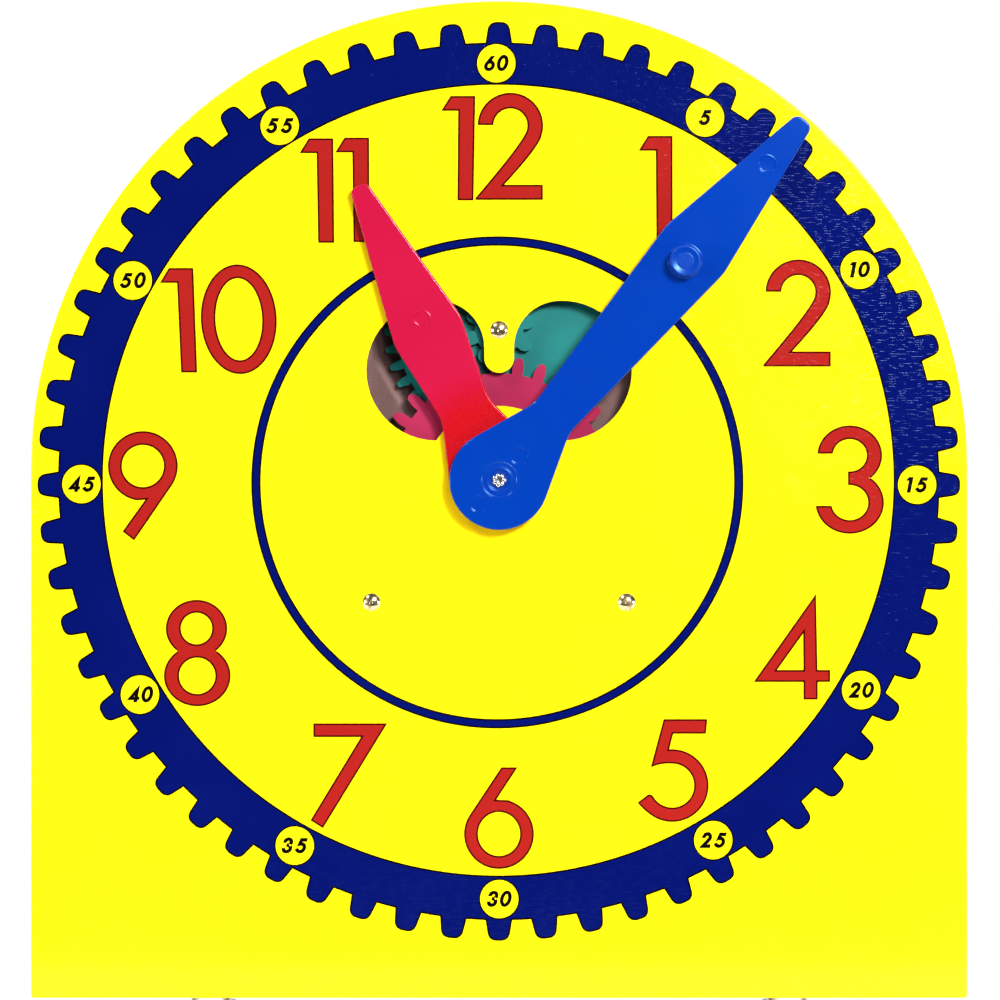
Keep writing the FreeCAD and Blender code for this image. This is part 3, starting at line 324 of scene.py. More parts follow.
@dataclass(frozen=True)
class Figures:
    """The ten figures, 36 mm high, each drawn from its own lower left corner."""

    height: float = 35.9
    stem: float = 5.3
    flag_tip: Point = (-5.8, 31.0)
    flag_top: Point = (-2.7, 35.9)
    two_bowl: Point = (12.0, 25.6)
    two_radii: Point = (11.2, 6.0)
    two_width: float = 23.1
    three_upper: Point = (11.5, 27.0)
    three_lower: Point = (11.5, 10.65)
    four_bar: Point = (6.1, 10.0)
    five_bowl: Point = (11.5, 12.5)
    five_radii: Point = (12.45, 7.7)
    five_hook: Point = (-0.3, 6.6)
    round_bowl: float = 11.95
    round_counter: float = 7.4
    tail_right: Point = (8.9, 0.0)
    tail_left: Point = (5.1, 3.0)
    eight_upper: Point = (11.15, 26.75)
    eight_lower: Point = (11.4, 10.4)
    zero_radii: Point = (13.0, 18.85)
    zero_counter: Point = (8.2, 14.3)

    def zero(self) -> Shape:
        """Draw the figure 0."""
        return Shape(ring(self.zero_radii, self.zero_radii),
                     (ring(self.zero_radii, self.zero_counter),))

    def one(self) -> Shape:
        """Draw the figure 1, its origin at the foot of the stem's left side."""
        return Shape(Pen((0.0, 0.0), (self.stem, 0.0), (self.stem + 0.3, self.height),
                         self.flag_top, self.flag_tip, (0.0, self.flag_tip[1])).outline())

    def two(self) -> Shape:
        """Draw the figure 2.

        Returns:
            The figure.
        """
        outer, inner = self.two_radii
        pen = Pen((0.0, 0.45), (0.0, 0.0), (self.two_width, 0.0), (self.two_width, 5.0),
                  (9.55, 5.0))
        pen.curve((21.4, 17.7), (22.7, 22.0))
        pen.arc(self.two_bowl, (outer, outer), -18.5, 178.7)
        pen.arc(self.two_bowl, (inner, inner), 177.6, -26.6)
        return Shape(pen.curve((15.05, 18.1), (0.0, 0.45)).outline())

    def three(self) -> Shape:
        """Draw the figure 3.

        Returns:
            The figure.
        """
        pen = Pen().arc(self.three_upper, (11.07, 10.2), 176.3, -51.2)
        pen.arc(self.three_lower, (11.7, 10.65), 57.7, -173.4)
        pen.arc(self.three_lower, (6.5, 6.15), -168.4, 90.0)
        pen.line((11.0, 16.8), (11.0, 21.35))
        return Shape(pen.arc(self.three_upper, (6.0, 5.7), -90.0, 173.0).outline())

    def four(self) -> Shape:
        """Draw the figure 4.

        Returns:
            The figure.
        """
        low, high = self.four_bar
        pen = Pen((21.2, 36.1), (21.7, high), (26.1, high), (26.1, low), (21.8, low),
                  (21.8, 0.0), (17.1, 0.0), (17.1, low), (0.0, low))
        return Shape(pen.outline(), (Pen((17.0, 23.1), (7.6, high), (17.1, high)).outline(),))

    def five(self) -> Shape:
        """Draw the figure 5.

        Returns:
            The figure.
        """
        outer, inner = self.five_radii
        pen = Pen((8.65, 35.35), (23.5, 35.35), (23.05, 30.55), (11.75, 30.55))
        pen.arc(self.five_bowl, (outer, outer), 95.5, -125.0).curve((1.4, 4.4), self.five_hook)
        pen.line((3.4, 9.4)).arc(self.five_bowl, (inner, inner), -153.0, 90.0)
        return Shape(pen.curve((7.9, 20.5), (4.25, 19.0)).outline())

    def six(self) -> Shape:
        """Draw the figure 6.

        Returns:
            The figure.
        """
        bowl, top = (self.round_bowl, self.round_bowl), (12.85, 34.9)
        pen = Pen(top, (18.15, 34.9), (10.8, 23.7), (15.5, 23.5))
        pen.arc(bowl, bowl, 73.0, touch_angle(bowl, self.round_bowl, top, 1) - 360.0)
        return Shape(pen.outline(), (ring(bowl, (self.round_counter, self.round_counter + 0.3)),))

    def seven(self) -> Shape:
        """Draw the figure 7."""
        return Shape(Pen((0.95, 35.95), (0.95, 31.45), (17.55, 31.45), (0.0, 2.55), (4.15, 0.0),
                         (26.2, 35.95)).outline())

    def eight(self) -> Shape:
        """Draw the figure 8.

        Returns:
            The figure.
        """
        pen = Pen().arc(self.eight_upper, (10.5, 9.8), -53.6, 234.3)
        pen.arc(self.eight_lower, (11.4, 10.4), 124.3, 420.0)
        return Shape(pen.outline(), (ring(self.eight_upper, (5.55, 5.55)),
                                     ring(self.eight_lower, (6.4, 6.4))))

    def nine(self) -> Shape:
        """Draw the figure 9.

        Returns:
            The figure.
        """
        centre, bowl = (self.round_bowl, 25.6), (self.round_bowl, self.round_bowl)
        pen = Pen(self.tail_right)
        pen.arc(centre, bowl, touch_angle(centre, self.round_bowl, self.tail_right, 1), 260.0)
        pen.line((13.05, 14.1), self.tail_left)
        counter = (self.round_counter, self.round_counter)
        return Shape(pen.outline(), (ring(centre, counter),))

    def draw(self, figure: str) -> Shape:
        """Draw a figure by its character."""
        names = ("zero", "one", "two", "three", "four", "five", "six", "seven", "eight", "nine")
        return getattr(self, names[int(figure)])()


# ---------------------------------------------------------------- shader kit


class Signal:
    """Value in a material's nodes, with Python's operators for its maths."""

    def __init__(self, wiring: "Wiring", socket: bpy.types.NodeSocket | None) -> None:
        """Wrap a node's output socket, or None after the last node."""
        self.wiring = wiring
        self.socket = socket

    def worked(self, operation: str, *terms: "Signal | float") -> "Signal":
        """Add a Math node.

        Args:
            operation: The node's operation.
            terms: Its values, in order.

        Returns:
            The node's result.
        """
        return self.wiring.node("ShaderNodeMath", {"operation": operation}, dict(enumerate(terms)))

    def __add__(self, other: "Signal | float") -> "Signal":
        """Add a value."""
        return self.worked("ADD", self, other)

    def __radd__(self, other: float) -> "Signal":
        """Add this to a number."""
        return self.worked("ADD", other, self)

    def __sub__(self, other: "Signal | float") -> "Signal":
        """Take a value off."""
        return self.worked("SUBTRACT", self, other)

    def __rsub__(self, other: float) -> "Signal":
        """Take this off a number."""
        return self.worked("SUBTRACT", other, self)

    def __mul__(self, other: "Signal | float") -> "Signal":
        """Multiply by a value."""
        return self.worked("MULTIPLY", self, other)

    def __rmul__(self, other: float) -> "Signal":
        """Multiply a number by this."""
        return self.worked("MULTIPLY", other, self)

    def at_least(self, other: "Signal | float") -> "Signal":
        """Give the larger of this and another value."""
        return self.worked("MAXIMUM", self, other)

    def root(self) -> "Signal":
        """Give the square root."""
        return self.worked("SQRT", self)

    def sine(self) -> "Signal":
        """Give the sine of an angle in radians."""
        return self.worked("SINE", self)

    def between(self, low: float, high: float) -> "Signal":
        """Rise smoothly from 0 at one value to 1 at another.

        Args:
            low: Value that gives 0.
            high: Value that gives 1. It may be the lower of the two.

        Returns:
            The smooth step.
        """
        step = self.wiring.node(
            "ShaderNodeMapRange", {"interpolation_type": "SMOOTHSTEP"},
            {"Value": self, "From Min": min(low, high), "From Max": max(low, high)}, "Result",
        )
        return 1.0 - step if low > high else step


@dataclass(frozen=True)
class Pattern:
    """Soft random pattern from 0 to 1 that keeps its real size, in metres.

    The stretch makes it denser along X, Y and Z. With an edge, it rises smoothly from 0 to 1
    between the edge's two values. The share scales the result.
    """

    size: float
    detail: float = 2.0
    stretch: Place = (1.0, 1.0, 1.0)
    edge: Point | None = None
    share: float = 1.0


class Wiring:
    """Nodes of one tree."""

    def __init__(self, tree: bpy.types.NodeTree) -> None:
        """Start with an empty tree."""
        self.tree = tree
        self.tree.nodes.clear()

    def node(
        self, kind: str, settings: Mapping[str, Any], sockets: Mapping[str | int, Any],
        output: str | int = 0,
    ) -> Signal:
        """Add a node of any type.

        Args:
            kind: The node's type.
            settings: Its own properties, set first.
            sockets: Values or links of its inputs, by name or number.
            output: Name or number of the output that is wanted.

        Returns:
            The wanted output.
        """
        made = self.tree.nodes.new(kind)
        for name, setting in settings.items():
            setattr(made, name, setting)
        for name, content in sockets.items():
            if isinstance(content, Signal):
                self.tree.links.new(content.socket, made.inputs[name])
            elif isinstance(content, tuple) and len(made.inputs[name].default_value) == 4:
                made.inputs[name].default_value = (*content, 1.0)
            else:
                made.inputs[name].default_value = content
        return Signal(self, made.outputs[output] if made.outputs else None)


class Coat(Wiring):
    """Nodes of one material."""

    def __init__(self, name: str) -> None:
        """Start a named material.

        Args:
            name: Name of the material.
        """
        self.material = bpy.data.materials.new(name)
        self.material.use_nodes = True
        super().__init__(self.material.node_tree)
        self.place = self.node("ShaderNodeTexCoord", {}, {}, "Object")

    def along(self, axis: str) -> Signal:
        """Give the place on the piece along X, Y or Z, in metres."""
        return self.node("ShaderNodeSeparateXYZ", {}, {0: self.place}, axis)

    def grain(self, pattern: Pattern) -> Signal:
        """Add a soft random pattern.

        Args:
            pattern: The pattern's size, detail, stretch, edge and share.

        Returns:
            The pattern's value.
        """
        dense = self.node("ShaderNodeVectorMath", {"operation": "MULTIPLY"},
                          {0: self.place, 1: tuple(s / pattern.size for s in pattern.stretch)})
        value = self.node("ShaderNodeTexNoise", {}, {
            "Vector": dense, "Scale": 1.0, "Detail": pattern.detail}, "Fac")
        if pattern.edge is not None:
            value = value.between(*pattern.edge)
        return value if pattern.share == 1.0 else value * pattern.share

    def blend(self, share: Signal, first: "Colour | Signal", second: "Colour | Signal") -> Signal:
        """Mix two colours.

        Args:
            share: How much of the second colour shows, from 0 to 1.
            first: First colour.
            second: Second colour.

        Returns:
            The mixed colour.
        """
        return self.node("ShaderNodeMix", {"data_type": "RGBA"},
                         {0: share, 6: first, 7: second}, 2)

    def relief(
        self, height: Signal, depth: float, strength: float = 1.0, under: Signal | None = None,
    ) -> Signal:
        """Turn a height from 0 to 1 into a bumped normal.

        Args:
            height: The height.
            depth: Depth that a height of 1 stands for, in metres.
            strength: Strength of the bump.
            under: Bumped normal that this relief is laid over, if there is one.

        Returns:
            The bumped normal.
        """
        sockets: dict[str | int, Any] = {"Height": height, "Distance": depth,
                                         "Strength": strength}
        if under is not None:
            sockets["Normal"] = under
        return self.node("ShaderNodeBump", {}, sockets, "Normal")

    def finish(self, **sockets: Any) -> bpy.types.Material:
        """Join the surface to the output.

        Args:
            sockets: Values or links of the Principled shader, with _ for each space.

        Returns:
            The finished material.
        """
        named = {name.replace("_", " "): content for name, content in sockets.items()}
        surface = self.node("ShaderNodeBsdfPrincipled", {}, named)
        self.node("ShaderNodeOutputMaterial", {}, {"Surface": surface})
        return self.material


# ---------------------------------------------------------------- finishes


@dataclass(frozen=True)
class Varnish:
    """Linen-like relief and gloss that the varnish gives the whole printed face."""

    thread: float = 0.0008
    run: float = 0.0032
    wander: Pattern = Pattern(0.006, 1.0)
    ridge: Point = (0.1, 0.95)
    broken: Point = (0.52, 0.59)
    depth: float = 0.000011
    roughness: float = 0.07
    worn: Pattern = Pattern(0.04, 4.0, edge=(0.45, 0.75), share=0.03)
    fine: Pattern = Pattern(0.0012, 1.0, share=0.02)

    def weave(self, coat: Coat) -> Signal:
        """Work out the height of the short crossed threads.

        Args:
            coat: The material that the varnish lies on.

        Returns:
            The height, from 0 to 1.
        """
        turn, short = math.tau / self.thread, self.thread / self.run
        sway = coat.grain(self.wander) * self.thread
        crossed = []
        for axis, stretch in (("Z", (short, 1.0, 1.0)), ("X", (1.0, 1.0, short))):
            ridge = ((coat.along(axis) + sway) * turn).sine().between(*self.ridge)
            crossed.append(ridge * coat.grain(Pattern(self.thread, 0.0, stretch, self.broken)))
        return crossed[0].at_least(crossed[1])

    def relief(self, coat: Coat) -> Signal:
        """Give the bumped normal of the varnish."""
        return coat.relief(self.weave(coat), self.depth)

    def gloss(self, coat: Coat) -> Signal:
        """Give the roughness of the varnish, worn here and there."""
        return coat.grain(self.worn) + coat.grain(self.fine) + self.roughness


@dataclass(frozen=True)
class Ink:
    """Printed colour under the varnish."""

    name: str
    colour: Colour
    faded: Colour
    gleam: Colour
    shine: float = 0.4
    patches: Pattern = Pattern(0.03, 3.0, edge=(0.4, 0.8), share=0.5)
    specks: Pattern = Pattern(0.0006, edge=(0.62, 0.78), share=0.35)
    varnish: Varnish = Varnish()

    def material(self) -> bpy.types.Material:
        """Build the ink's material.

        Returns:
            The material.
        """
        coat = Coat(self.name)
        fading = coat.grain(self.patches) + coat.grain(self.specks)
        return coat.finish(Base_Color=coat.blend(fading, self.colour, self.faded),
                           Roughness=self.varnish.gloss(coat), Normal=self.varnish.relief(coat),
                           Specular_IOR_Level=self.shine, Specular_Tint=self.gleam)


@dataclass(frozen=True)
class PaintedBoard:
    """Yellow face and sides over a brown pressed board, bare at the back and in the recess."""

    name: str = "yellow_painted_board"
    yellow: Colour = (0.97, 0.71, 0.004)
    dull_yellow: Colour = (0.95, 0.68, 0.006)
    board: Colour = (0.17, 0.095, 0.055)
    board_dark: Colour = (0.085, 0.045, 0.025)
    gleam: Colour = (1.0, 1.0, 0.5)
    shine: float = 0.4
    skin: Point = (-0.00455, -0.0046)
    side_skin: Point = (0.0012, 0.0009)
    lower_skin: Point = (0.0085, 0.0078)
    paint_back: Point = (0.0046, 0.0043)
    scuffs: Pattern = Pattern(0.004, 5.0, edge=(0.66, 0.70))
    patches: Pattern = Pattern(0.05, 3.0, edge=(0.35, 0.8), share=0.45)
    fibres: Pattern = Pattern(0.0009, 5.0, (1.0, 0.6, 1.0))
    fibre_edge: Point = (0.3, 0.7)
    clouds: Pattern = Pattern(0.035, 4.0, edge=(0.3, 0.75), share=0.55)
    least_cloud: float = 0.45
    bare_roughness: float = 0.85
    rim_roughness: float = 0.3
    fibre_depth: float = 0.00025
    fibre_strength: float = 0.7
    varnish: Varnish = Varnish()

    def material(self, side: float, base: float) -> bpy.types.Material:
        """Build the board's material.

        Args:
            side: Half of the board's width, in metres.
            base: Height of the arch's centre, in metres.

        Returns:
            The material.
        """
        coat = Coat(self.name)
        across, depth, up = (coat.along(axis) for axis in "XYZ")
        rise = (up - base).at_least(0.0)
        reach = (across * across + rise * rise).root()
        outside = reach.between(*(side - inset for inset in self.side_skin))
        front = depth.between(*self.skin)
        rim = outside.at_least(up.between(*self.lower_skin)) * depth.between(*self.paint_back)
        painted = front.at_least(rim * (1.0 - coat.grain(self.scuffs) * (1.0 - front)))
        yellow = coat.blend(coat.grain(self.patches), self.yellow, self.dull_yellow)
        fibres = coat.grain(self.fibres)
        streaks = fibres.between(*self.fibre_edge) * (self.least_cloud + coat.grain(self.clouds))
        brown = coat.blend(streaks, self.board_dark, self.board)
        rough = self.varnish.gloss(coat) * painted + (1.0 - painted) * self.bare_roughness
        normal = coat.relief(fibres * (1.0 - painted), self.fibre_depth, self.fibre_strength,
                             self.varnish.relief(coat))
        return coat.finish(Base_Color=coat.blend(painted, brown, yellow), Normal=normal,
                           Roughness=rough + (painted - front) * self.rim_roughness,
                           Specular_IOR_Level=self.shine, Specular_Tint=self.gleam)


@dataclass(frozen=True)
class Hardboard:
    """Brown pressed board of the back cover: smooth in front with a painted pale streak of light,
    meshed at the back.
    """

    name: str = "brown_hardboard"
    colour: Colour = (0.166, 0.078, 0.073)
    pale: Colour = (0.33, 0.195, 0.185)
    dark: Colour = (0.1, 0.044, 0.037)
    roughness: float = 0.55
    depth: float = 0.00012
    strength: float = 0.8
    fibres: Pattern = Pattern(0.0008, 6.0, (1.0, 1.0, 2.2))
    fibre_edge: Point = (0.25, 0.75)
    fibre_roughness: float = 0.2
    fibre_height: float = 0.35
    streaks: Pattern = Pattern(0.022, 3.0, (1.4, 1.0, 0.45), (0.48, 0.7))
    streak_share: float = 0.7
    back: Point = (0.0078, 0.0079)
    back_loss: float = 0.55
    mesh_pitch: float = 0.0016
    # Painted highlight: where a soft pale streak of light is painted into the cover's colour, and
    # how strongly.
    scuff: Point = (-0.0419, 0.2268)
    scuff_length: float = 0.0149
    scuff_angle: float = -60.0
    scuff_start: float = 0.003
    scuff_end: float = 0.005
    scuff_sides: Point = (0.0028, 0.0008)
    scuff_share: float = 0.8
    ragged: Pattern = Pattern(0.004, 4.0, share=0.0012)

    def material(self) -> bpy.types.Material:
        """Build the hardboard's material.

        Returns:
            The material.
        """
        coat = Coat(self.name)
        fibres, back = coat.grain(self.fibres), coat.along("Y").between(*self.back)
        tone = coat.blend(fibres.between(*self.fibre_edge), self.dark, self.colour)
        streaks = coat.grain(self.streaks) * (self.streak_share - back * self.back_loss)
        tone = coat.blend(streaks, tone, self.pale)
        # Painted highlight: the pale streak of light is mixed into the cover's colour.
        tone = coat.blend(self.rubbed(coat) * (1.0 - back) * self.scuff_share, tone, self.pale)
        turn = math.tau / self.mesh_pitch
        wires = (coat.along("X") * turn).sine() * (coat.along("Z") * turn).sine()
        height = (wires * 0.5 + 0.5) * back + fibres * self.fibre_height
        return coat.finish(Base_Color=tone, Normal=coat.relief(height, self.depth, self.strength),
                           Roughness=fibres * self.fibre_roughness + self.roughness)

    def rubbed(self, coat: Coat) -> Signal:
        """Work out the painted highlight, a soft pale streak of light painted across the cover.

        Args:
            coat: The hardboard's material.

        Returns:
            How much of the painted highlight a place gets, from 0 to 1.
        """
        right, up = coat.along("X") - self.scuff[0], coat.along("Z") - self.scuff[1]
        cosine, sine = (turn(math.radians(self.scuff_angle)) for turn in (math.cos, math.sin))
        along, aside = right * cosine + up * sine, up * cosine - right * sine
        width = (aside * aside).root() + coat.grain(self.ragged)
        start = along.between(-self.scuff_start, self.scuff_start)
        end = along.between(self.scuff_length + self.scuff_end, self.scuff_length)
        return width.between(*self.scuff_sides) * (start * end)


@dataclass(frozen=True)
class Moulding:
    """Injection-moulded plastic with a fine orange-peel skin and rubbed places."""

    name: str
    colour: Colour
    rubbed: Colour
    roughness: float = 0.34
    peel: float = 0.0011
    depth: float = 0.000006
    shine: float = 0.4
    gleam: Colour = (1.0, 1.0, 1.0)
    flow: Pattern = Pattern(0.028, 3.0, edge=(0.35, 0.8), share=0.55)
    specks: Pattern = Pattern(0.0005, 1.0, edge=(0.6, 0.75), share=0.15)
    wear: Pattern = Pattern(0.012, 3.0, share=0.08)
    hair: Pattern = Pattern(0.0016, 3.0, (1.0, 1.0, 9.0), (0.68, 0.74))
    hair_roughness: float = 0.08
    hair_height: float = 0.3

    def tone(self, coat: Coat) -> Signal:
        """Give the plastic's colour with its slow and fine changes."""
        wear = coat.grain(self.flow) + coat.grain(self.specks)
        return coat.blend(wear, self.colour, self.rubbed)

    def skin(self, coat: Coat) -> tuple[Signal, Signal]:
        """Work out how the plastic's skin shines.

        Args:
            coat: The plastic's material.

        Returns:
            The roughness and the bumped normal.
        """
        hair = coat.grain(self.hair)
        rough = coat.grain(self.wear) + hair * self.hair_roughness + self.roughness
        height = coat.grain(Pattern(self.peel)) + hair * self.hair_height
        return rough, coat.relief(height, self.depth)

    def material(self) -> bpy.types.Material:
        """Build the plastic's material.

        Returns:
            The material.
        """
        coat = Coat(self.name)
        rough, normal = self.skin(coat)
        return coat.finish(Base_Color=self.tone(coat), Roughness=rough, Normal=normal,
                           Specular_IOR_Level=self.shine, Specular_Tint=self.gleam)


@dataclass(frozen=True)
class HandMoulding(Moulding):
    """Plastic of a hand, which changes with the distance from the hands' axis."""

    axis: Point = (0.0, 0.18585)

    def reach(self, coat: Coat) -> Signal:
        """Give the distance from the hands' axis, in metres."""
        across, up = coat.along("X") - self.axis[0], coat.along("Z") - self.axis[1]
        return (across * across + up * up).root()


@dataclass(frozen=True)
class HourHandMoulding(HandMoulding):
    """Crimson plastic that turns grainy and warmer red towards the hub."""

    grainy: Colour = (0.40, 0.0008, 0.0015)
    near: float = 0.024
    far: float = 0.042
    sand: Pattern = Pattern(0.00055, 3.0)
    least_sand: float = 0.4
    sand_depth: float = 0.00008
    sand_strength: float = 0.8
    hub_roughness: float = 0.08
    peel_roughness: float = 0.06

    def hub(self, coat: Coat) -> Signal:
        """Rise from 0 along the blade to 1 towards the hub."""
        return self.reach(coat).between(self.far, self.near)

    def tone(self, coat: Coat) -> Signal:
        """Give the crimson, sandy towards the hub."""
        sand = self.hub(coat) * (self.least_sand + coat.grain(self.sand))
        return coat.blend(sand, super().tone(coat), self.grainy)

    def skin(self, coat: Coat) -> tuple[Signal, Signal]:
        """Work out how the skin shines, with the sand's relief over the orange peel.

        Args:
            coat: The plastic's material.

        Returns:
            The roughness and the bumped normal.
        """
        hub, peel = self.hub(coat), coat.grain(Pattern(self.peel))
        rough = hub * self.hub_roughness + peel * self.peel_roughness + self.roughness
        return rough, coat.relief(coat.grain(self.sand) * hub, self.sand_depth,
                                  self.sand_strength, coat.relief(peel, self.depth))


@dataclass(frozen=True)
class MinuteHandMoulding(HandMoulding):
    """Blue plastic, rubbed dull on the turning knob and round the rivet."""

    hub: float = 0.0072
    hub_share: float = 0.5
    knob_front: float = -0.0118
    fade: float = 0.0004
    dulled: float = 0.12

    def skin(self, coat: Coat) -> tuple[Signal, Signal]:
        """Work out how the skin shines, duller where it is handled.

        Args:
            coat: The plastic's material.

        Returns:
            The roughness and the bumped normal.
        """
        knob = coat.along("Y").between(self.knob_front, self.knob_front - self.fade)
        hub = self.reach(coat).between(self.hub + self.fade, self.hub)
        handled = knob.at_least(hub * self.hub_share)
        rough = coat.grain(self.wear) + self.roughness + handled * self.dulled
        return rough, coat.relief(coat.grain(Pattern(self.peel)), self.depth)


@dataclass(frozen=True)
class Metal:
    """Plated or bare metal with tarnish, fine scratches and soft dents."""

    name: str
    colour: Colour
    tarnish: Colour
    roughness: float = 0.2
    tarnish_size: float = 0.0025
    scratch: Place = (1.0, 1.0, 8.0)
    dent: float = 0.00001
    stain_edge: Point = (0.48, 0.72)
    stain_roughness: float = 0.22
    stain_dulling: float = 0.25
    scratch_size: float = 0.0012
    scratch_edge: Point = (0.5, 0.7)
    scratch_roughness: float = 0.12
    scratch_height: float = 0.15
    dents: Pattern = Pattern(0.0014, 1.0)
    detail: float = 4.0

    def material(self) -> bpy.types.Material:
        """Build the metal's material.

        Returns:
            The material.
        """
        coat = Coat(self.name)
        stains = coat.grain(Pattern(self.tarnish_size, self.detail, edge=self.stain_edge))
        scratches = coat.grain(Pattern(self.scratch_size, self.detail, self.scratch))
        dull = scratches.between(*self.scratch_edge) * self.scratch_roughness
        height = coat.grain(self.dents) + scratches * self.scratch_height
        return coat.finish(Base_Color=coat.blend(stains, self.colour, self.tarnish),
                           Metallic=1.0 - stains * self.stain_dulling,
                           Roughness=stains * self.stain_roughness + dull + self.roughness,
                           Normal=coat.relief(height, self.dent))


@dataclass(frozen=True)
class StudioPaper:
    """Pale paper of the floor."""

    name: str = "studio_paper"
    colour: Colour = (0.86, 0.86, 0.86)
    shade: Colour = (0.82, 0.82, 0.82)
    clouds: Pattern = Pattern(0.4, 3.0)
    tooth: Pattern = Pattern(0.0008)
    roughness: float = 0.8
    tooth_roughness: float = 0.1
    depth: float = 0.00004

    def material(self) -> bpy.types.Material:
        """Build the paper's material.

        Returns:
            The material.
        """
        coat = Coat(self.name)
        clouds, tooth = coat.grain(self.clouds), coat.grain(self.tooth)
        return coat.finish(Base_Color=coat.blend(clouds, self.colour, self.shade),
                           Roughness=tooth * self.tooth_roughness + self.roughness,
                           Normal=coat.relief(tooth, self.depth))


# ---------------------------------------------------------------- meshes


class Form:
    """Mesh of one piece, put together from rows of points."""

    def __init__(self) -> None:
        """Start with an empty mesh."""
        self.cells = bmesh.new()

    def row(self, places: Iterable[Vector]) -> Row:
        """Set a row of points."""
        return [self.cells.verts.new(place) for place in places]

    def skin(self, rows: Sequence[Row], closed: bool = True) -> None:
        """Join each row to the next with four-sided faces.

        Args:
            rows: Rows of the same number of points.
            closed: Whether each row's last point joins its first.
        """
        for first, second in zip(rows, rows[1:], strict=False):
            for here in range(len(first) if closed else len(first) - 1):
                after = (here + 1) % len(first)
                self.cap([first[here], first[after], second[after], second[here]])

    def cap(self, row: Row) -> None:
        """Close a row with one face."""
        self.cells.faces.new(row)

    def flat(self, loops: Sequence[tuple[Outline, Row]]) -> None:
        """Close the flat between an outer row and the rows of its holes.

        Args:
            loops: Each outline with its row of points, the outer one first.
        """
        corners = [corner for _, row in loops for corner in row]
        polygons = [[Vector((x, y, 0.0)) for x, y in drawn.points] for drawn, _ in loops]
        for triangle in tessellate_polygon(polygons):
            self.cap([corners[index] for index in triangle])

    def finished(self, name: str, sharp: float | None = None) -> bpy.types.Object:
        """Turn the rows and faces into a piece.

        Args:
            name: Name of the piece.
            sharp: Angle in degrees above which an edge stays sharp. None keeps the faces flat.

        Returns:
            The piece, in the scene.
        """
        bmesh.ops.recalc_face_normals(self.cells, faces=self.cells.faces)
        mesh = bpy.data.meshes.new(name)
        self.cells.to_mesh(mesh)
        self.cells.free()
        if sharp is not None:
            mesh.shade_smooth()
            mesh.set_sharp_from_angle(angle=math.radians(sharp))
        piece = bpy.data.objects.new(name, mesh)
        bpy.context.scene.collection.objects.link(piece)
        return piece


# ---------------------------------------------------------------- the printed face


class Layer(Enum):
    """How far each layer of ink stands off the board, in millimetres."""

    LINE = 0.03
    INK = 0.05
    DISC_LINE = 0.06
    DISC_INK = 0.07
    NUMBER = 0.08


@dataclass(frozen=True)
class Face:
    """Where the printed face lies: dial places in millimetres become places in the room."""

    axis_height: float
    front: float
    buried: float = 0.06

    def slab(self, name: str, shapes: Sequence[Shape], layer: Layer) -> bpy.types.Object:
        """Make a thin closed layer of ink that stands just proud of the board.

        Args:
            name: Name of the piece.
            shapes: What the layer covers, in millimetres from the hands' axis.
            layer: The layer, which sets how far its front stands off the board.

        Returns:
            The layer's object.
        """
        form = Form()
        for shape in shapes:
            loops = (shape.rim, *shape.holes)
            tops, lows = ([(drawn, form.row(self.spots(drawn, out))) for drawn in loops]
                          for out in (layer.value, -self.buried))
            form.flat(tops)
            form.flat(lows)
            for (_, top), (_, low) in zip(tops, lows, strict=True):
                form.skin([top, low])
        return form.finished(name)

    def spots(self, drawn: Outline, proud: float, angle: float = 0.0) -> list[Vector]:
        """Turn an outline on the dial into places in the room.

        Args:
            drawn: The outline, in millimetres from the hands' axis.
            proud: How far it stands off the board, in millimetres.
            angle: How far it is turned clockwise about the hands' axis, in degrees.

        Returns:
            The places of its corners, in metres.
        """
        cosine, sine = math.cos(math.radians(angle)), math.sin(math.radians(angle))
        return [Vector((x * cosine + y * sine, self.front - proud,
                        self.axis_height + (y * cosine - x * sine))) * MM
                for x, y in drawn.points]


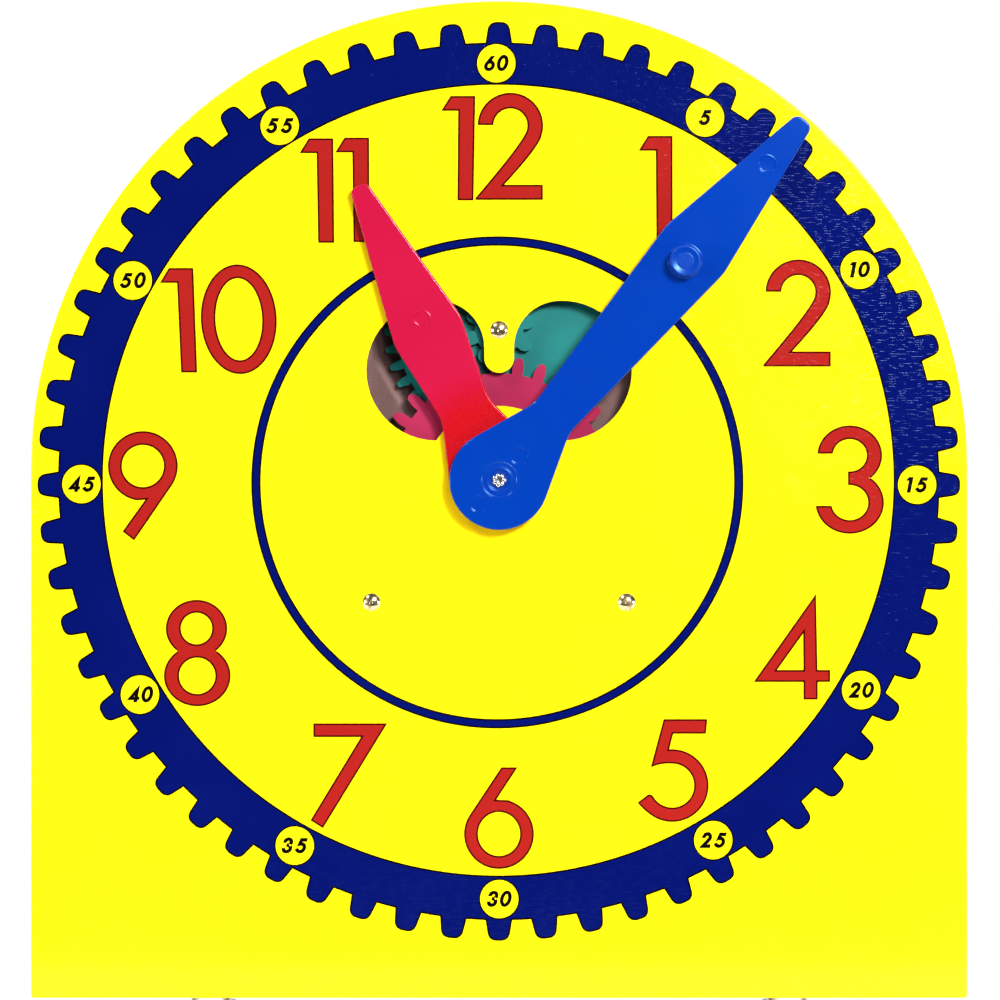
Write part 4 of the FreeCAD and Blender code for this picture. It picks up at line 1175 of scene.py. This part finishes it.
@dataclass
class MinuteTrack:
    """Navy ring with sixty gear teeth round it, and a yellow disc for every fifth minute."""

    face: Face
    centre: Point = (-0.1, -0.4)
    inner_centre: Point = (-0.31, 0.02)
    inner_radius: float = 136.7
    root_radius: float = 152.1
    tip_radius: float = 159.15
    teeth: int = 60
    root_half: float = 4.6
    tip_half: float = 3.45
    tip_round: float = 2.8
    crown: float = 0.05
    slip: float = 0.45
    oval: float = 0.0028
    oval_angle: float = -68.0
    line: float = 0.62
    disc_circle: float = 144.5
    disc_centre: Point = (0.05, -0.35)
    disc_radius: float = 6.6
    disc_line: float = 0.52
    disc_slips: tuple[float, ...] = (-0.5, -0.4, 0.5, 0.0, -0.8, 0.0, -0.7, -0.7, -0.4, -1.3,
                                     -1.7, -0.4)

    def turned(self, point: Point, angle: float) -> Point:
        """Turn a point clockwise about the track's centre, on its slightly oval path.

        Args:
            point: The point, in millimetres from the centre.
            angle: Angle of the turn, in degrees.

        Returns:
            The turned point, in millimetres from the hands' axis.
        """
        turn = math.radians(angle)
        spread = 1.0 + self.oval * math.cos(2 * (turn - math.radians(self.oval_angle)))
        right, up = point[0], point[1] * spread
        return (self.centre[0] + right * math.cos(turn) + up * math.sin(turn),
                self.centre[1] - right * math.sin(turn) + up * math.cos(turn))

    def toothed_rim(self) -> Outline:
        """Draw the outer edge with its round-topped teeth.

        Returns:
            The outer edge.
        """
        root_y = math.sqrt(self.root_radius ** 2 - self.root_half ** 2)
        flank = Vector((self.tip_half - self.root_half, self.tip_radius - root_y)).normalized()
        low = (self.tip_half - flank.x * self.tip_round,
               self.tip_radius - flank.y * self.tip_round)
        top = (self.tip_half - self.tip_round, self.tip_radius + self.crown)
        pen = Pen((-self.root_half, root_y), (-low[0], low[1]))
        pen.curve((-self.tip_half, self.tip_radius), (-top[0], top[1])).line(top)
        pen.curve((self.tip_half, self.tip_radius), low).line((self.root_half, root_y))
        pitch = 360.0 / self.teeth
        points: list[Point] = []
        for tooth in range(self.teeth):
            here, after = (even + self.slip * math.sin(math.radians(even))
                           for even in (pitch * tooth, pitch * (tooth + 1)))
            points += [self.turned(point, here) for point in pen.points]
            points.append(self.turned((0.0, self.root_radius), (here + after) / 2))
        return Outline.through(points)

    def disc_spots(self) -> list[tuple[int, Point]]:
        """Find where the discs go.

        Returns:
            Each disc's minute and its centre.
        """
        discs = len(self.disc_slips)
        spots = []
        for index, slip in enumerate(self.disc_slips, start=1):
            turn = math.radians(360.0 / discs * index + slip)
            spots.append((self.teeth // discs * index,
                          (self.disc_centre[0] + self.disc_circle * math.sin(turn),
                           self.disc_centre[1] + self.disc_circle * math.cos(turn))))
        return spots

    def build(self) -> list[bpy.types.Object]:
        """Build the navy ring and the discs, each over its black line.

        Returns:
            The ring's line and ink, and the discs' line and ink.
        """
        under = Shape(self.toothed_rim(), (fine_ring(self.inner_centre, self.inner_radius),))
        wide, narrow = (
            [Shape(ring(spot, (radius, radius))) for _, spot in self.disc_spots()]
            for radius in (self.disc_radius + self.disc_line, self.disc_radius)
        )
        return [self.face.slab("minute_track_line", [under], Layer.LINE),
                self.face.slab("minute_track_ink", [under.grown(-self.line)], Layer.INK),
                self.face.slab("minute_disc_line", wide, Layer.DISC_LINE),
                self.face.slab("minute_disc_ink", narrow, Layer.DISC_INK)]


@dataclass
class InnerCircle:
    """Thin navy circle printed round the window."""

    face: Face
    centre: Point = (-0.62, -0.76)
    inner_radius: float = 81.85
    outer_radius: float = 85.1
    line: float = 0.6

    def build(self) -> list[bpy.types.Object]:
        """Build the navy ink and the black line under its edges.

        Returns:
            The line and the ink.
        """
        under = Shape(fine_ring(self.centre, self.outer_radius),
                      (fine_ring(self.centre, self.inner_radius),))
        return [self.face.slab("inner_circle_line", [under], Layer.LINE),
                self.face.slab("inner_circle_ink", [under.grown(-self.line)], Layer.INK)]


@dataclass
class HourNumerals:
    """Red numerals 1 to 12 with a thin dark edge, each figure at its own place and lean."""

    face: Face
    figures: Figures = Figures()
    spread: float = 0.12
    edge: float = 0.6
    corner: float = 0.3
    places: tuple[tuple[str, Point, float], ...] = (
        ("1", (-14.3, 96.85), 0.5), ("2", (-8.1, 97.05), 0.0),
        ("1", (54.55, 83.05), -0.5),
        ("2", (91.45, 39.4), 0.0),
        ("3", (109.75, -18.4), 0.0),
        ("4", (88.25, -75.75), 0.0),
        ("5", (48.35, -118.1), 0.0),
        ("6", (-12.0, -134.3), 0.0),
        ("7", (-65.1, -120.15), 0.0),
        ("8", (-115.8, -78.05), 0.0),
        ("9", (-135.15, -20.7), 0.0),
        ("1", (-109.85, 37.35), -2.6), ("0", (-102.5, 36.8), -1.6),
        ("1", (-62.45, 82.2), -1.0), ("1", (-50.25, 82.45), -0.7),
    )

    def build(self) -> list[bpy.types.Object]:
        """Build the red ink and the dark edge under it.

        Returns:
            The edge and the ink.
        """
        drawn = [self.figures.draw(figure).placed(place, lean=lean)
                 for figure, place, lean in self.places]
        under, over = ([shape.grown(growth).rounded(self.corner) for shape in drawn]
                       for growth in (self.spread, self.spread - self.edge))
        return [self.face.slab("hour_numerals_edge", under, Layer.LINE),
                self.face.slab("hour_numerals_ink", over, Layer.INK)]


@dataclass
class MinuteNumbers:
    """Small slanted black numbers, one in the middle of each disc."""

    face: Face
    track: MinuteTrack
    figures: Figures = Figures()
    height: float = 4.8
    narrowing: float = 0.96
    lean: float = 11.0
    weight: float = 0.33
    softness: float = 0.1
    gap: float = 0.45

    def number(self, text: str, middle: Point) -> list[Shape]:
        """Set one number about a middle point.

        Args:
            text: The number's figures.
            middle: Centre of the number, in millimetres from the hands' axis.

        Returns:
            The number's shapes.
        """
        tall = self.height / self.figures.height
        shapes: list[Shape] = []
        end = 0.0
        for figure in text:
            shape = self.figures.draw(figure).placed(
                (0.0, 0.0), (tall * self.narrowing, tall), self.lean
            )
            shape = shape.grown(self.weight).rounded(self.softness)
            low, high = shape.span()
            shapes.append(shape.placed((end - low, 0.0)))
            end += high - low + self.gap
        width = end - self.gap
        corner = (middle[0] - width / 2, middle[1] - self.height / 2)
        return [shape.placed(corner) for shape in shapes]

    def build(self) -> list[bpy.types.Object]:
        """Build the black ink.

        Returns:
            The ink, as a list of one piece.
        """
        shapes: list[Shape] = []
        for minute, spot in self.track.disc_spots():
            shapes += self.number(str(minute), spot)
        return [self.face.slab("minute_numbers_ink", shapes, Layer.NUMBER)]


@dataclass
class PrintedFace:
    """Everything that is printed on the front of the board."""

    face: Face
    navy: Ink = Ink("navy_ink", (0.0006, 0.0034, 0.092), (0.0015, 0.0055, 0.112),
                    (0.4, 0.55, 1.0))
    black: Ink = Ink("black_ink", (0.0012, 0.0012, 0.0014), (0.003, 0.003, 0.0035),
                     (0.4, 0.4, 0.5))
    yellow: Ink = Ink("yellow_ink", (0.97, 0.71, 0.004), (0.95, 0.68, 0.006), (1.0, 1.0, 0.5))
    red: Ink = Ink("red_ink", (0.30, 0.011, 0.0085), (0.335, 0.014, 0.012), (1.0, 0.45, 0.55))
    maroon: Ink = Ink("dark_red_ink", (0.04, 0.001, 0.001), (0.06, 0.002, 0.002),
                      (0.7, 0.3, 0.25))

    def build(self) -> list[bpy.types.Object]:
        """Build and dress the layers of ink, and set them on the board.

        Returns:
            The layers, from the track's line to the minute numbers.
        """
        track = MinuteTrack(self.face)
        layers = [*track.build(), *InnerCircle(self.face).build(),
                  *HourNumerals(self.face).build(), *MinuteNumbers(self.face, track).build()]
        navy, black, red, maroon, yellow = (ink.material() for ink in (
            self.navy, self.black, self.red, self.maroon, self.yellow))
        inks = (black, navy, black, yellow, black, navy, maroon, red, black)
        for layer, ink in zip(layers, inks, strict=True):
            layer.data.materials.append(ink)
            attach(layer, "case")
        return layers


# ---------------------------------------------------------------- metal and plastic pieces


class Tail(Enum):
    """How the hollow end of a rivet is closed over its washer."""

    ROLLED = "rolled"
    SPLIT = "split"


@dataclass(frozen=True)
class Rivet:
    """Semi-tubular rivet: domed head with a small dimple, shank, and a closed-over tail."""

    node: str
    bearing: float
    seat: float
    tail: Tail
    shank: float = 1.65
    head: float = 3.05
    head_height: float = 1.165
    head_steps: int = 11
    head_inset: float = 0.03
    head_edge: float = 0.05
    head_chamfer: float = 0.06
    dimple: float = 0.5
    dimple_depth: float = 0.3
    dimple_floor: float = 0.6
    dimple_wall: float = 0.93
    dimple_round: float = 0.04
    lip: float = 2.48
    roll: float = 0.79
    curl: tuple[Place, ...] = ((0.08, 0.03, 0.0), (0.0, 0.158, 0.0), (0.02, 0.395, 0.5),
                               (0.16, 0.6478, 1.0))
    mouth: tuple[Point, ...] = ((0.12, 0.06), (0.0, 0.3))
    throat: float = 0.8
    bore: float = 0.95
    bore_depth: float = 2.8
    bore_tip: float = 0.15
    petals: int = 7
    petal_shape: float = 0.45
    petal_mean: float = 0.9
    petal_waves: tuple[Place, ...] = ((0.10, 3, 0.7), (0.07, 5, 2.0))
    petal_closing: float = 0.25
    petal_sinking: float = 0.35
    segments: int = 126
    sharp: float = 50.0

    def split(self, angle: float) -> float:
        """Work out how far the tail spreads, which is all the way round on a rolled tail.

        Args:
            angle: Angle round the rivet, in radians.

        Returns:
            The spread, from 0 in a split to 1 at a petal's tip.
        """
        if self.tail is Tail.ROLLED:
            return 1.0
        petal = abs(math.cos(angle * self.petals / 2)) ** self.petal_shape
        uneven = sum(high * math.sin(count * angle + start)
                     for high, count, start in self.petal_waves)
        return min(1.0, max(0.0, petal * (self.petal_mean + uneven)))

    def head_points(self) -> list[Point]:
        """Draw the head's section, from the middle of the dimple to the edge on the seat.

        Returns:
            Radius and distance from the head's seat, in millimetres.
        """
        high = self.head_height
        ball = (self.head ** 2 + high ** 2) / (2 * high)
        rim = high - ball + math.sqrt(ball ** 2 - self.dimple ** 2)
        floor = self.dimple_depth - rim
        points = [(0.0, floor), (self.dimple_floor * self.dimple, floor),
                  (self.dimple_wall * self.dimple, self.dimple_round - rim)]
        inner, outer = self.dimple + self.dimple_round, self.head - self.head_inset
        for step in range(self.head_steps + 1):
            radius = inner + (outer - inner) * step / self.head_steps
            points.append((radius, ball - high - math.sqrt(ball ** 2 - radius ** 2)))
        return [*points, (self.head, -self.head_edge), (self.head - self.head_chamfer, 0.0)]

    def tail_points(self, length: float, angle: float) -> list[Point]:
        """Draw the tail's section at an angle.

        Args:
            length: Distance from the head's seat to the tail's seat.
            angle: Angle round the rivet, in radians.

        Returns:
            Radius and distance from the head's seat, in millimetres.
        """
        spread, end = self.split(angle), length + self.roll
        lip = self.shank + (self.lip - self.shank) * spread
        inner = self.bore + self.petal_closing * (1.0 - spread)
        sunk = self.petal_sinking * self.roll * (1.0 - spread)
        outside = [(lip - inset, length + rise - share * sunk) for inset, rise, share in self.curl]
        inside = [(inner + inset, end - fall - sunk) for inset, fall in self.mouth]
        return [(self.shank, length), *outside, ((lip + inner) / 2, end - sunk), *inside,
                (self.bore, end - self.throat), (self.bore, end - self.bore_depth),
                (0.0, end - self.bore_depth - self.bore_tip)]

    def build(self) -> bpy.types.Object:
        """Build the rivet where its plain form is, which it replaces.

        Returns:
            The rivet's object.
        """
        low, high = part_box(self.node)
        axis = (low + high) / 2
        towards = 1.0 if self.seat > self.bearing else -1.0
        form = Form()
        rows = []
        for index in range(self.segments):
            angle = math.tau * index / self.segments
            tail = self.tail_points(abs(self.seat - self.bearing), angle)
            rows.append(form.row(
                Vector((axis.x + MM * radius * math.cos(angle),
                        MM * (self.bearing + towards * along),
                        axis.z + MM * radius * math.sin(angle)))
                for radius, along in [*self.head_points(), (self.shank, 0.0), *tail]
            ))
        form.skin([*rows, rows[0]], closed=False)
        bmesh.ops.remove_doubles(form.cells, verts=form.cells.verts, dist=SAME_VERTEX)
        rivet = form.finished(f"{self.node}_{self.tail.value}", self.sharp)
        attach(rivet, "case")
        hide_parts(self.node)
        return rivet


@dataclass
class Rivets:
    """Three brass rivets that hold the cover, and the bright one that the hands turn on."""

    brass: Metal = Metal("rivet_brass", (0.80, 0.66, 0.40), (0.40, 0.27, 0.11),
                         roughness=0.13, tarnish_size=0.0016)
    steel: Metal = Metal("rivet_steel", (0.84, 0.84, 0.85), (0.26, 0.24, 0.23),
                         roughness=0.16, tarnish_size=0.0009, dent=0.00004)
    washer_back: float = 8.75
    hub_floor: float = -11.1

    def build(self) -> list[bpy.types.Object]:
        """Build and dress the four rivets.

        Returns:
            The rivets, the centre one last.
        """
        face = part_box("face_board")[0].y / MM
        brass, steel = self.brass.material(), self.steel.material()
        made = []
        for node in ("idler_rivet", "left_cover_rivet", "right_cover_rivet"):
            rivet = Rivet(node, face, self.washer_back, Tail.ROLLED).build()
            rivet.data.materials.append(brass)
            made.append(rivet)
        centre = Rivet("centre_rivet", self.washer_back, self.hub_floor, Tail.SPLIT).build()
        centre.data.materials.append(steel)
        return [*made, centre]


@dataclass(frozen=True)
class Turning:
    """Round feature of a hand: radius and height over its flat front, from outside inwards."""

    along: float
    section: tuple[Point, ...]
    sides: int = 60


@dataclass
class Hand:
    """Moulded hand: flat blade and round hub with a soft rim, on a boss with a keyed bore."""

    node: str
    body: str
    angle: float
    levels: tuple[float, float, float]
    neck: Point
    belly: Point
    tip: Point
    tip_corner: float
    flare: float
    bore: float
    flat: float
    hub_section: tuple[Point, ...]
    features: tuple[Turning, ...]
    hub: float = 17.2
    neck_round: float = 16.0
    belly_round: float = 14.0
    rim_round: float = 0.6
    rim_steps: int = 6
    foot_round: float = 0.15
    foot_bevel: float = 0.3
    margin: float = 0.2
    boss: float = 7.0
    hub_sides: int = 90
    sharp: float = 38.0

    def outline(self) -> Outline:
        """Draw the hand's outline, pointing up.

        Returns:
            The outline, in millimetres from the hands' axis.
        """
        flare = math.radians(self.flare)
        pen = Pen().arc((0.0, 0.0), (self.hub, self.hub), 180.0 - self.flare, 360.0 + self.flare)
        start = (-self.hub * math.cos(flare), self.hub * math.sin(flare))
        rounds = (self.neck_round, self.belly_round, self.tip_corner)
        right = (self.neck, self.belly, self.tip)
        corners = [*right, *((-half, reach) for half, reach in reversed(right)), start]
        rounds += rounds[::-1]
        for corner, after, radius in zip(corners[:-1], corners[1:], rounds, strict=True):
            pen.bend(corner, after, radius)
        return pen.outline()

    def rim_rows(self) -> list[Point]:
        """Draw the side's section, from the back to the front.

        Returns:
            How far in from the outline, and the level, in millimetres.
        """
        _, low, top = self.levels
        bevel = self.foot_bevel * self.foot_round
        rows = [(self.foot_round + self.margin, low), (self.foot_round, low),
                (bevel, low + bevel), (0.0, low + self.foot_round)]
        for step in range(self.rim_steps + 1):
            turn = math.pi / 2 * step / self.rim_steps
            rows.append((self.rim_round * (1 - math.cos(turn)),
                         top - self.rim_round * (1 - math.sin(turn))))
        return [*rows, (self.rim_round + self.margin, top)]

    def with_margin(self, section: tuple[Point, ...]) -> tuple[Point, ...]:
        """Put a narrow flat ring round a feature, so that its rounds don't shade the flat."""
        return ((section[0][0] + self.margin, 0.0), *section)

    def round_row(self, along: float, radius: float, sides: int) -> Outline:
        """Draw a round row of a feature, with the bore's two flats where it is the bore.

        Args:
            along: How far up the hand its centre is, in millimetres.
            radius: Radius of the row.
            sides: Number of its sides.

        Returns:
            The row's outline.
        """
        wide = self.flat if radius == self.bore else radius
        return Outline(tuple(
            (max(-wide, min(wide, radius * math.cos(math.tau * side / sides))),
             along + radius * math.sin(math.tau * side / sides)) for side in range(sides)
        ))

    def skinned(
        self, form: Form, face: Face, drawn: Iterable[tuple[Outline, float]],
    ) -> list[tuple[Outline, Row]]:
        """Set outlines at their levels, turned to the hand's place at rest, and join them.

        Args:
            form: The mesh that they go into.
            face: The printed face, which the levels are measured from.
            drawn: Each outline with its level, in millimetres.

        Returns:
            Each outline with its row of points.
        """
        loops = [(outline, form.row(face.spots(outline, level, self.angle)))
                 for outline, level in drawn]
        form.skin([row for _, row in loops])
        return loops

    def build(self, face: Face) -> bpy.types.Object:
        """Build the hand on its body, in place of its plain form.

        Args:
            face: The printed face, which the levels are measured from.

        Returns:
            The hand's object.
        """
        seat, low, top = self.levels
        form = Form()
        blade = self.outline()
        rim = self.skinned(form, face, ((blade.grown(-inset) if inset else blade, level)
                                        for inset, level in self.rim_rows()))
        dish = [(radius, top + height) for radius, height in self.with_margin(self.hub_section)]
        boss = [(self.bore, seat), (self.boss, seat), (self.boss, low),
                (self.boss + self.margin, low)]
        hub = self.skinned(form, face, ((self.round_row(0.0, radius, self.hub_sides), level)
                                        for radius, level in dish + boss))
        holes = [hub[0]]
        for feature in self.features:
            turned = self.skinned(form, face, (
                (self.round_row(feature.along, radius, feature.sides), top + height)
                for radius, height in self.with_margin(feature.section)
            ))
            form.cap(turned[-1][1])
            holes.append(turned[0])
        form.flat([rim[-1], *holes])
        form.flat([rim[0], hub[-1]])
        hand = form.finished(f"{self.node}_moulded", self.sharp)
        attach(hand, self.body)
        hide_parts(self.node)
        return hand


@dataclass
class Hands:
    """The two hands, the long one with its turning knob."""

    face: Face
    sunk_mark: tuple[Point, ...] = ((3.35, 0.0), (3.2, 0.035), (3.05, 0.02), (2.9, -0.06),
                                    (2.72, -0.16), (2.55, -0.21), (2.35, -0.22))
    raised_mark: tuple[Point, ...] = ((3.15, 0.0), (3.05, 0.05), (2.92, 0.11), (2.76, 0.12),
                                      (2.6, 0.06), (2.45, -0.03), (2.25, -0.08), (2.0, -0.09))
    knob: tuple[Point, ...] = (
        (6.2, 0.0), (5.98, 0.06), (5.78, 0.2), (5.64, 0.45), (5.56, 0.8), (5.5, 1.2), (5.42, 5.3),
        (5.38, 5.55), (5.28, 5.75), (5.12, 5.9), (4.92, 5.98), (4.7, 6.0), (4.5, 5.985),
        (4.35, 5.94), (4.2, 5.9), (3.0, 5.6), (2.92, 5.59), (2.86, 5.62), (2.8, 5.68),
        (2.72, 5.72), (2.6, 5.73), (2.4, 5.73),
    )
    knob_along: float = 98.9
    knob_sides: int = 96
    hub_marks: float = 10.8
    tip_mark: float = 142.7
    hour_mark: float = 61.7
    hub_dish: tuple[Point, ...] = (
        (6.5, 0.0), (6.37, 0.04), (6.22, 0.04), (6.08, -0.04), (5.94, -0.16), (5.76, -0.24),
        (5.5, -0.25), (4.75, -0.25), (4.6, -0.21), (4.42, -0.1), (4.25, -0.06), (4.08, -0.1),
        (3.95, -0.2), (3.75, -0.25), (3.4, -0.25), (3.3, -0.28), (3.22, -0.36),
    )

    def build(self) -> list[bpy.types.Object]:
        """Build and dress the two hands.

        Returns:
            The minute hand and the hour hand.
        """
        marks = [Turning(along, self.sunk_mark)
                 for along in (-self.hub_marks, self.hub_marks, self.tip_mark)]
        minute = Hand(
            node="minute_hand", body="minute", angle=40.34, levels=(3.9, 4.05, 6.45),
            neck=(7.95, 28.0), belly=(12.95, 104.6), tip=(3.4, 162.9), tip_corner=3.1,
            flare=20.3, bore=3.22, flat=2.72, hub_section=self.hub_dish,
            features=(*marks, Turning(self.knob_along, self.knob, self.knob_sides)),
        ).build(self.face)
        hour = Hand(
            node="hour_hand", body="hour", angle=-25.6, levels=(0.15, 1.55, 3.75),
            neck=(8.9, 27.0), belly=(12.6, 57.2), tip=(3.15, 112.7), tip_corner=2.7,
            flare=19.7, bore=4.82, flat=4.22, hub_section=((4.95, 0.0), (4.82, -0.13)),
            features=(Turning(self.hour_mark, self.raised_mark),),
        ).build(self.face)
        axis = (0.0, self.face.axis_height * MM)
        blue = MinuteHandMoulding(
            "blue_hand_plastic", (0.0002, 0.029, 0.285), (0.0003, 0.037, 0.325), axis=axis,
            roughness=0.1, peel=0.0014, shine=0.4, gleam=(0.3, 0.65, 1.0),
        )
        crimson = HourHandMoulding(
            "crimson_hand_plastic", (0.395, 0.005, 0.036), (0.445, 0.008, 0.045), axis=axis,
            roughness=0.12, peel=0.0012, shine=0.35, gleam=(1.0, 0.55, 0.65),
        )
        for hand, plastic, slot in ((minute, blue, "hand_blue"), (hour, crimson, "hand_crimson")):
            hand.data.materials.append(plastic.material())
        return [minute, hour]


@dataclass
class Mechanism:
    """Pieces that keep the form they are built to, each with its own finish."""

    nodes: Mapping[str, bpy.types.Object]
    finishes: tuple[tuple[Hardboard | Metal | Moulding, tuple[str, ...]], ...] = (
        (Hardboard(), ("back_cover",)),
        (Metal("zinc_plate", (0.66, 0.67, 0.69), (0.45, 0.44, 0.42), roughness=0.3,
               tarnish_size=0.006, scratch=(8.0, 1.0, 1.0), dent=0.000006),
         ("left_foot", "right_foot", "left_foot_screw", "right_foot_screw",
          "left_foot_screw_washer", "right_foot_screw_washer", "idler_rivet_washer",
          "left_cover_rivet_washer", "right_cover_rivet_washer", "centre_rivet_washer")),
        (Moulding("red_fibre", (0.12, 0.02, 0.012), (0.2, 0.04, 0.025), roughness=0.6),
         ("centre_thrust_washer", "idler_thrust_washer")),
        (Moulding("white_nylon", (0.72, 0.71, 0.66), (0.62, 0.6, 0.54), roughness=0.45),
         ("left_foot_spacer", "right_foot_spacer")),
        (Moulding("red_gear_plastic", (0.32, 0.009, 0.054), (0.41, 0.027, 0.085),
                  gleam=(1.0, 0.4, 0.55)), ("hour_gear",)),
        (Moulding("teal_gear_plastic", (0.003, 0.138, 0.127), (0.008, 0.19, 0.178),
                  gleam=(0.5, 1.0, 0.97)), ("idler_gear",)),
        (Moulding("blue_pinion_plastic", (0.001, 0.02, 0.22), (0.002, 0.03, 0.27),
                  roughness=0.36, gleam=(0.3, 0.65, 1.0)), ("minute_pinion",)),
    )

    def dress(self, material: bpy.types.Material, *names: str) -> None:
        """Give a finish to pieces.

        Args:
            material: The finish's material.
            names: Names of the pieces.
        """
        for name in names:
            piece = self.nodes[name]
            piece.data.materials.clear()
            piece.data.materials.append(material)
            log.info("dressed %s in %s", name, material.name)

    def build(self) -> None:
        """Dress every piece of the clock that keeps its own form."""
        _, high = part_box("face_board")
        self.dress(PaintedBoard().material(high.x, high.z - high.x), "face_board")
        for finish, pieces in self.finishes:
            self.dress(finish.material(), *pieces)


# ---------------------------------------------------------------- studio


@dataclass(frozen=True)
class Softbox:
    """Square soft light that faces one place."""

    name: str
    place: Place
    width: float
    power: float

    def hang(self, target: Vector) -> None:
        """Hang the light so that it faces a place.

        Args:
            target: The place, in metres.
        """
        light = bpy.data.lights.new(self.name, "AREA")
        light.shape = "SQUARE"
        light.size = self.width
        light.energy = self.power
        lamp = bpy.data.objects.new(self.name, light)
        lamp.location = self.place
        lamp.rotation_euler = (target - lamp.location).to_track_quat("-Z", "Y").to_euler()
        bpy.context.scene.collection.objects.link(lamp)


@dataclass
class Studio:
    """Pale floor, soft lights and the camera, straight in front of the dial."""

    face: float
    aim: Point = (0.0003, 0.179)
    distance: float = 1.8
    sensor: float = 36.0
    frame_width: float = 0.3458
    clip_end: float = 20.0
    floor_half: float = 1.3
    floor_front: float = 0.2
    floor_rows: int = 24
    dim: float = 0.09
    lights: tuple[Softbox, ...] = (
        Softbox("key_light", (0.62, -1.4, 0.8), 0.32, 33.8),
        Softbox("left_fill", (-1.5, -0.8, 0.15), 0.3, 11.8),
        Softbox("upper_left_fill", (-1.0, -0.9, 1.45), 0.3, 12.2),
        Softbox("right_fill", (1.4, -0.7, 0.1), 0.3, 6.5),
        Softbox("sheen_light", (0.285, -1.5, 0.64), 0.15, 4.0),
    )
    floor_light: Softbox = Softbox("floor_light", (0.0, 1.2, 2.4), 2.6, 115.0)

    @property
    def target(self) -> Vector:
        """Give the place on the dial that the camera and the lights face."""
        return Vector((self.aim[0], self.face, self.aim[1]))

    def floor(self) -> None:
        """Lay the pale paper that the clock stands on."""
        form = bmesh.new()
        bmesh.ops.create_grid(form, x_segments=self.floor_rows, y_segments=self.floor_rows,
                              size=self.floor_half)
        mesh = bpy.data.meshes.new("studio_floor")
        form.to_mesh(mesh)
        form.free()
        floor = bpy.data.objects.new("studio_floor", mesh)
        floor.location.y = self.floor_half - self.floor_front
        bpy.context.scene.collection.objects.link(floor)
        mesh.materials.append(StudioPaper().material())

    def surroundings(self) -> None:
        """Set a white background that gives only a dim light."""
        world = bpy.data.worlds.new("white_surroundings")
        world.use_nodes = True
        wiring = Wiring(world.node_tree)
        seen = wiring.node("ShaderNodeLightPath", {}, {}, "Is Camera Ray")
        light = wiring.node("ShaderNodeBackground", {}, {
            "Color": (1.0, 1.0, 1.0), "Strength": seen * (1.0 - self.dim) + self.dim})
        wiring.node("ShaderNodeOutputWorld", {}, {"Surface": light})
        bpy.context.scene.world = world

    def camera(self) -> None:
        """Set up the camera, level and square to the dial."""
        lens = bpy.data.cameras.new("camera")
        lens.sensor_width = self.sensor
        lens.lens = self.sensor * self.distance / self.frame_width
        lens.clip_end = self.clip_end
        camera = bpy.data.objects.new("camera", lens)
        camera.location = self.target - Vector((0.0, self.distance, 0.0))
        camera.rotation_euler = (math.pi / 2, 0.0, 0.0)
        bpy.context.scene.collection.objects.link(camera)
        bpy.context.scene.camera = camera

    def build(self) -> None:
        """Set up the floor, the lights and the camera."""
        self.floor()
        for light in self.lights:
            light.hang(self.target)
        self.floor_light.hang(Vector((0.0, self.floor_light.place[1], 0.0)))
        self.surroundings()
        bpy.context.scene.view_settings.view_transform = "Standard"
        self.camera()


def main() -> None:
    """Build the clock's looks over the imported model."""
    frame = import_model()
    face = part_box("face_board")[0].y
    shaft_low, shaft_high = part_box("centre_rivet")
    axis = (shaft_low + shaft_high) / 2
    dial = Face(axis.z / MM, face / MM)
    Mechanism(frame["nodes"]).build()
    for piece in [*PrintedFace(dial).build(), *Rivets().build(), *Hands(dial).build()]:
        log.info("built %s", piece.name)
    Studio(face).build()


if __name__ == "__main__":
    logging.basicConfig(level=logging.INFO, format="%(message)s")
    main()
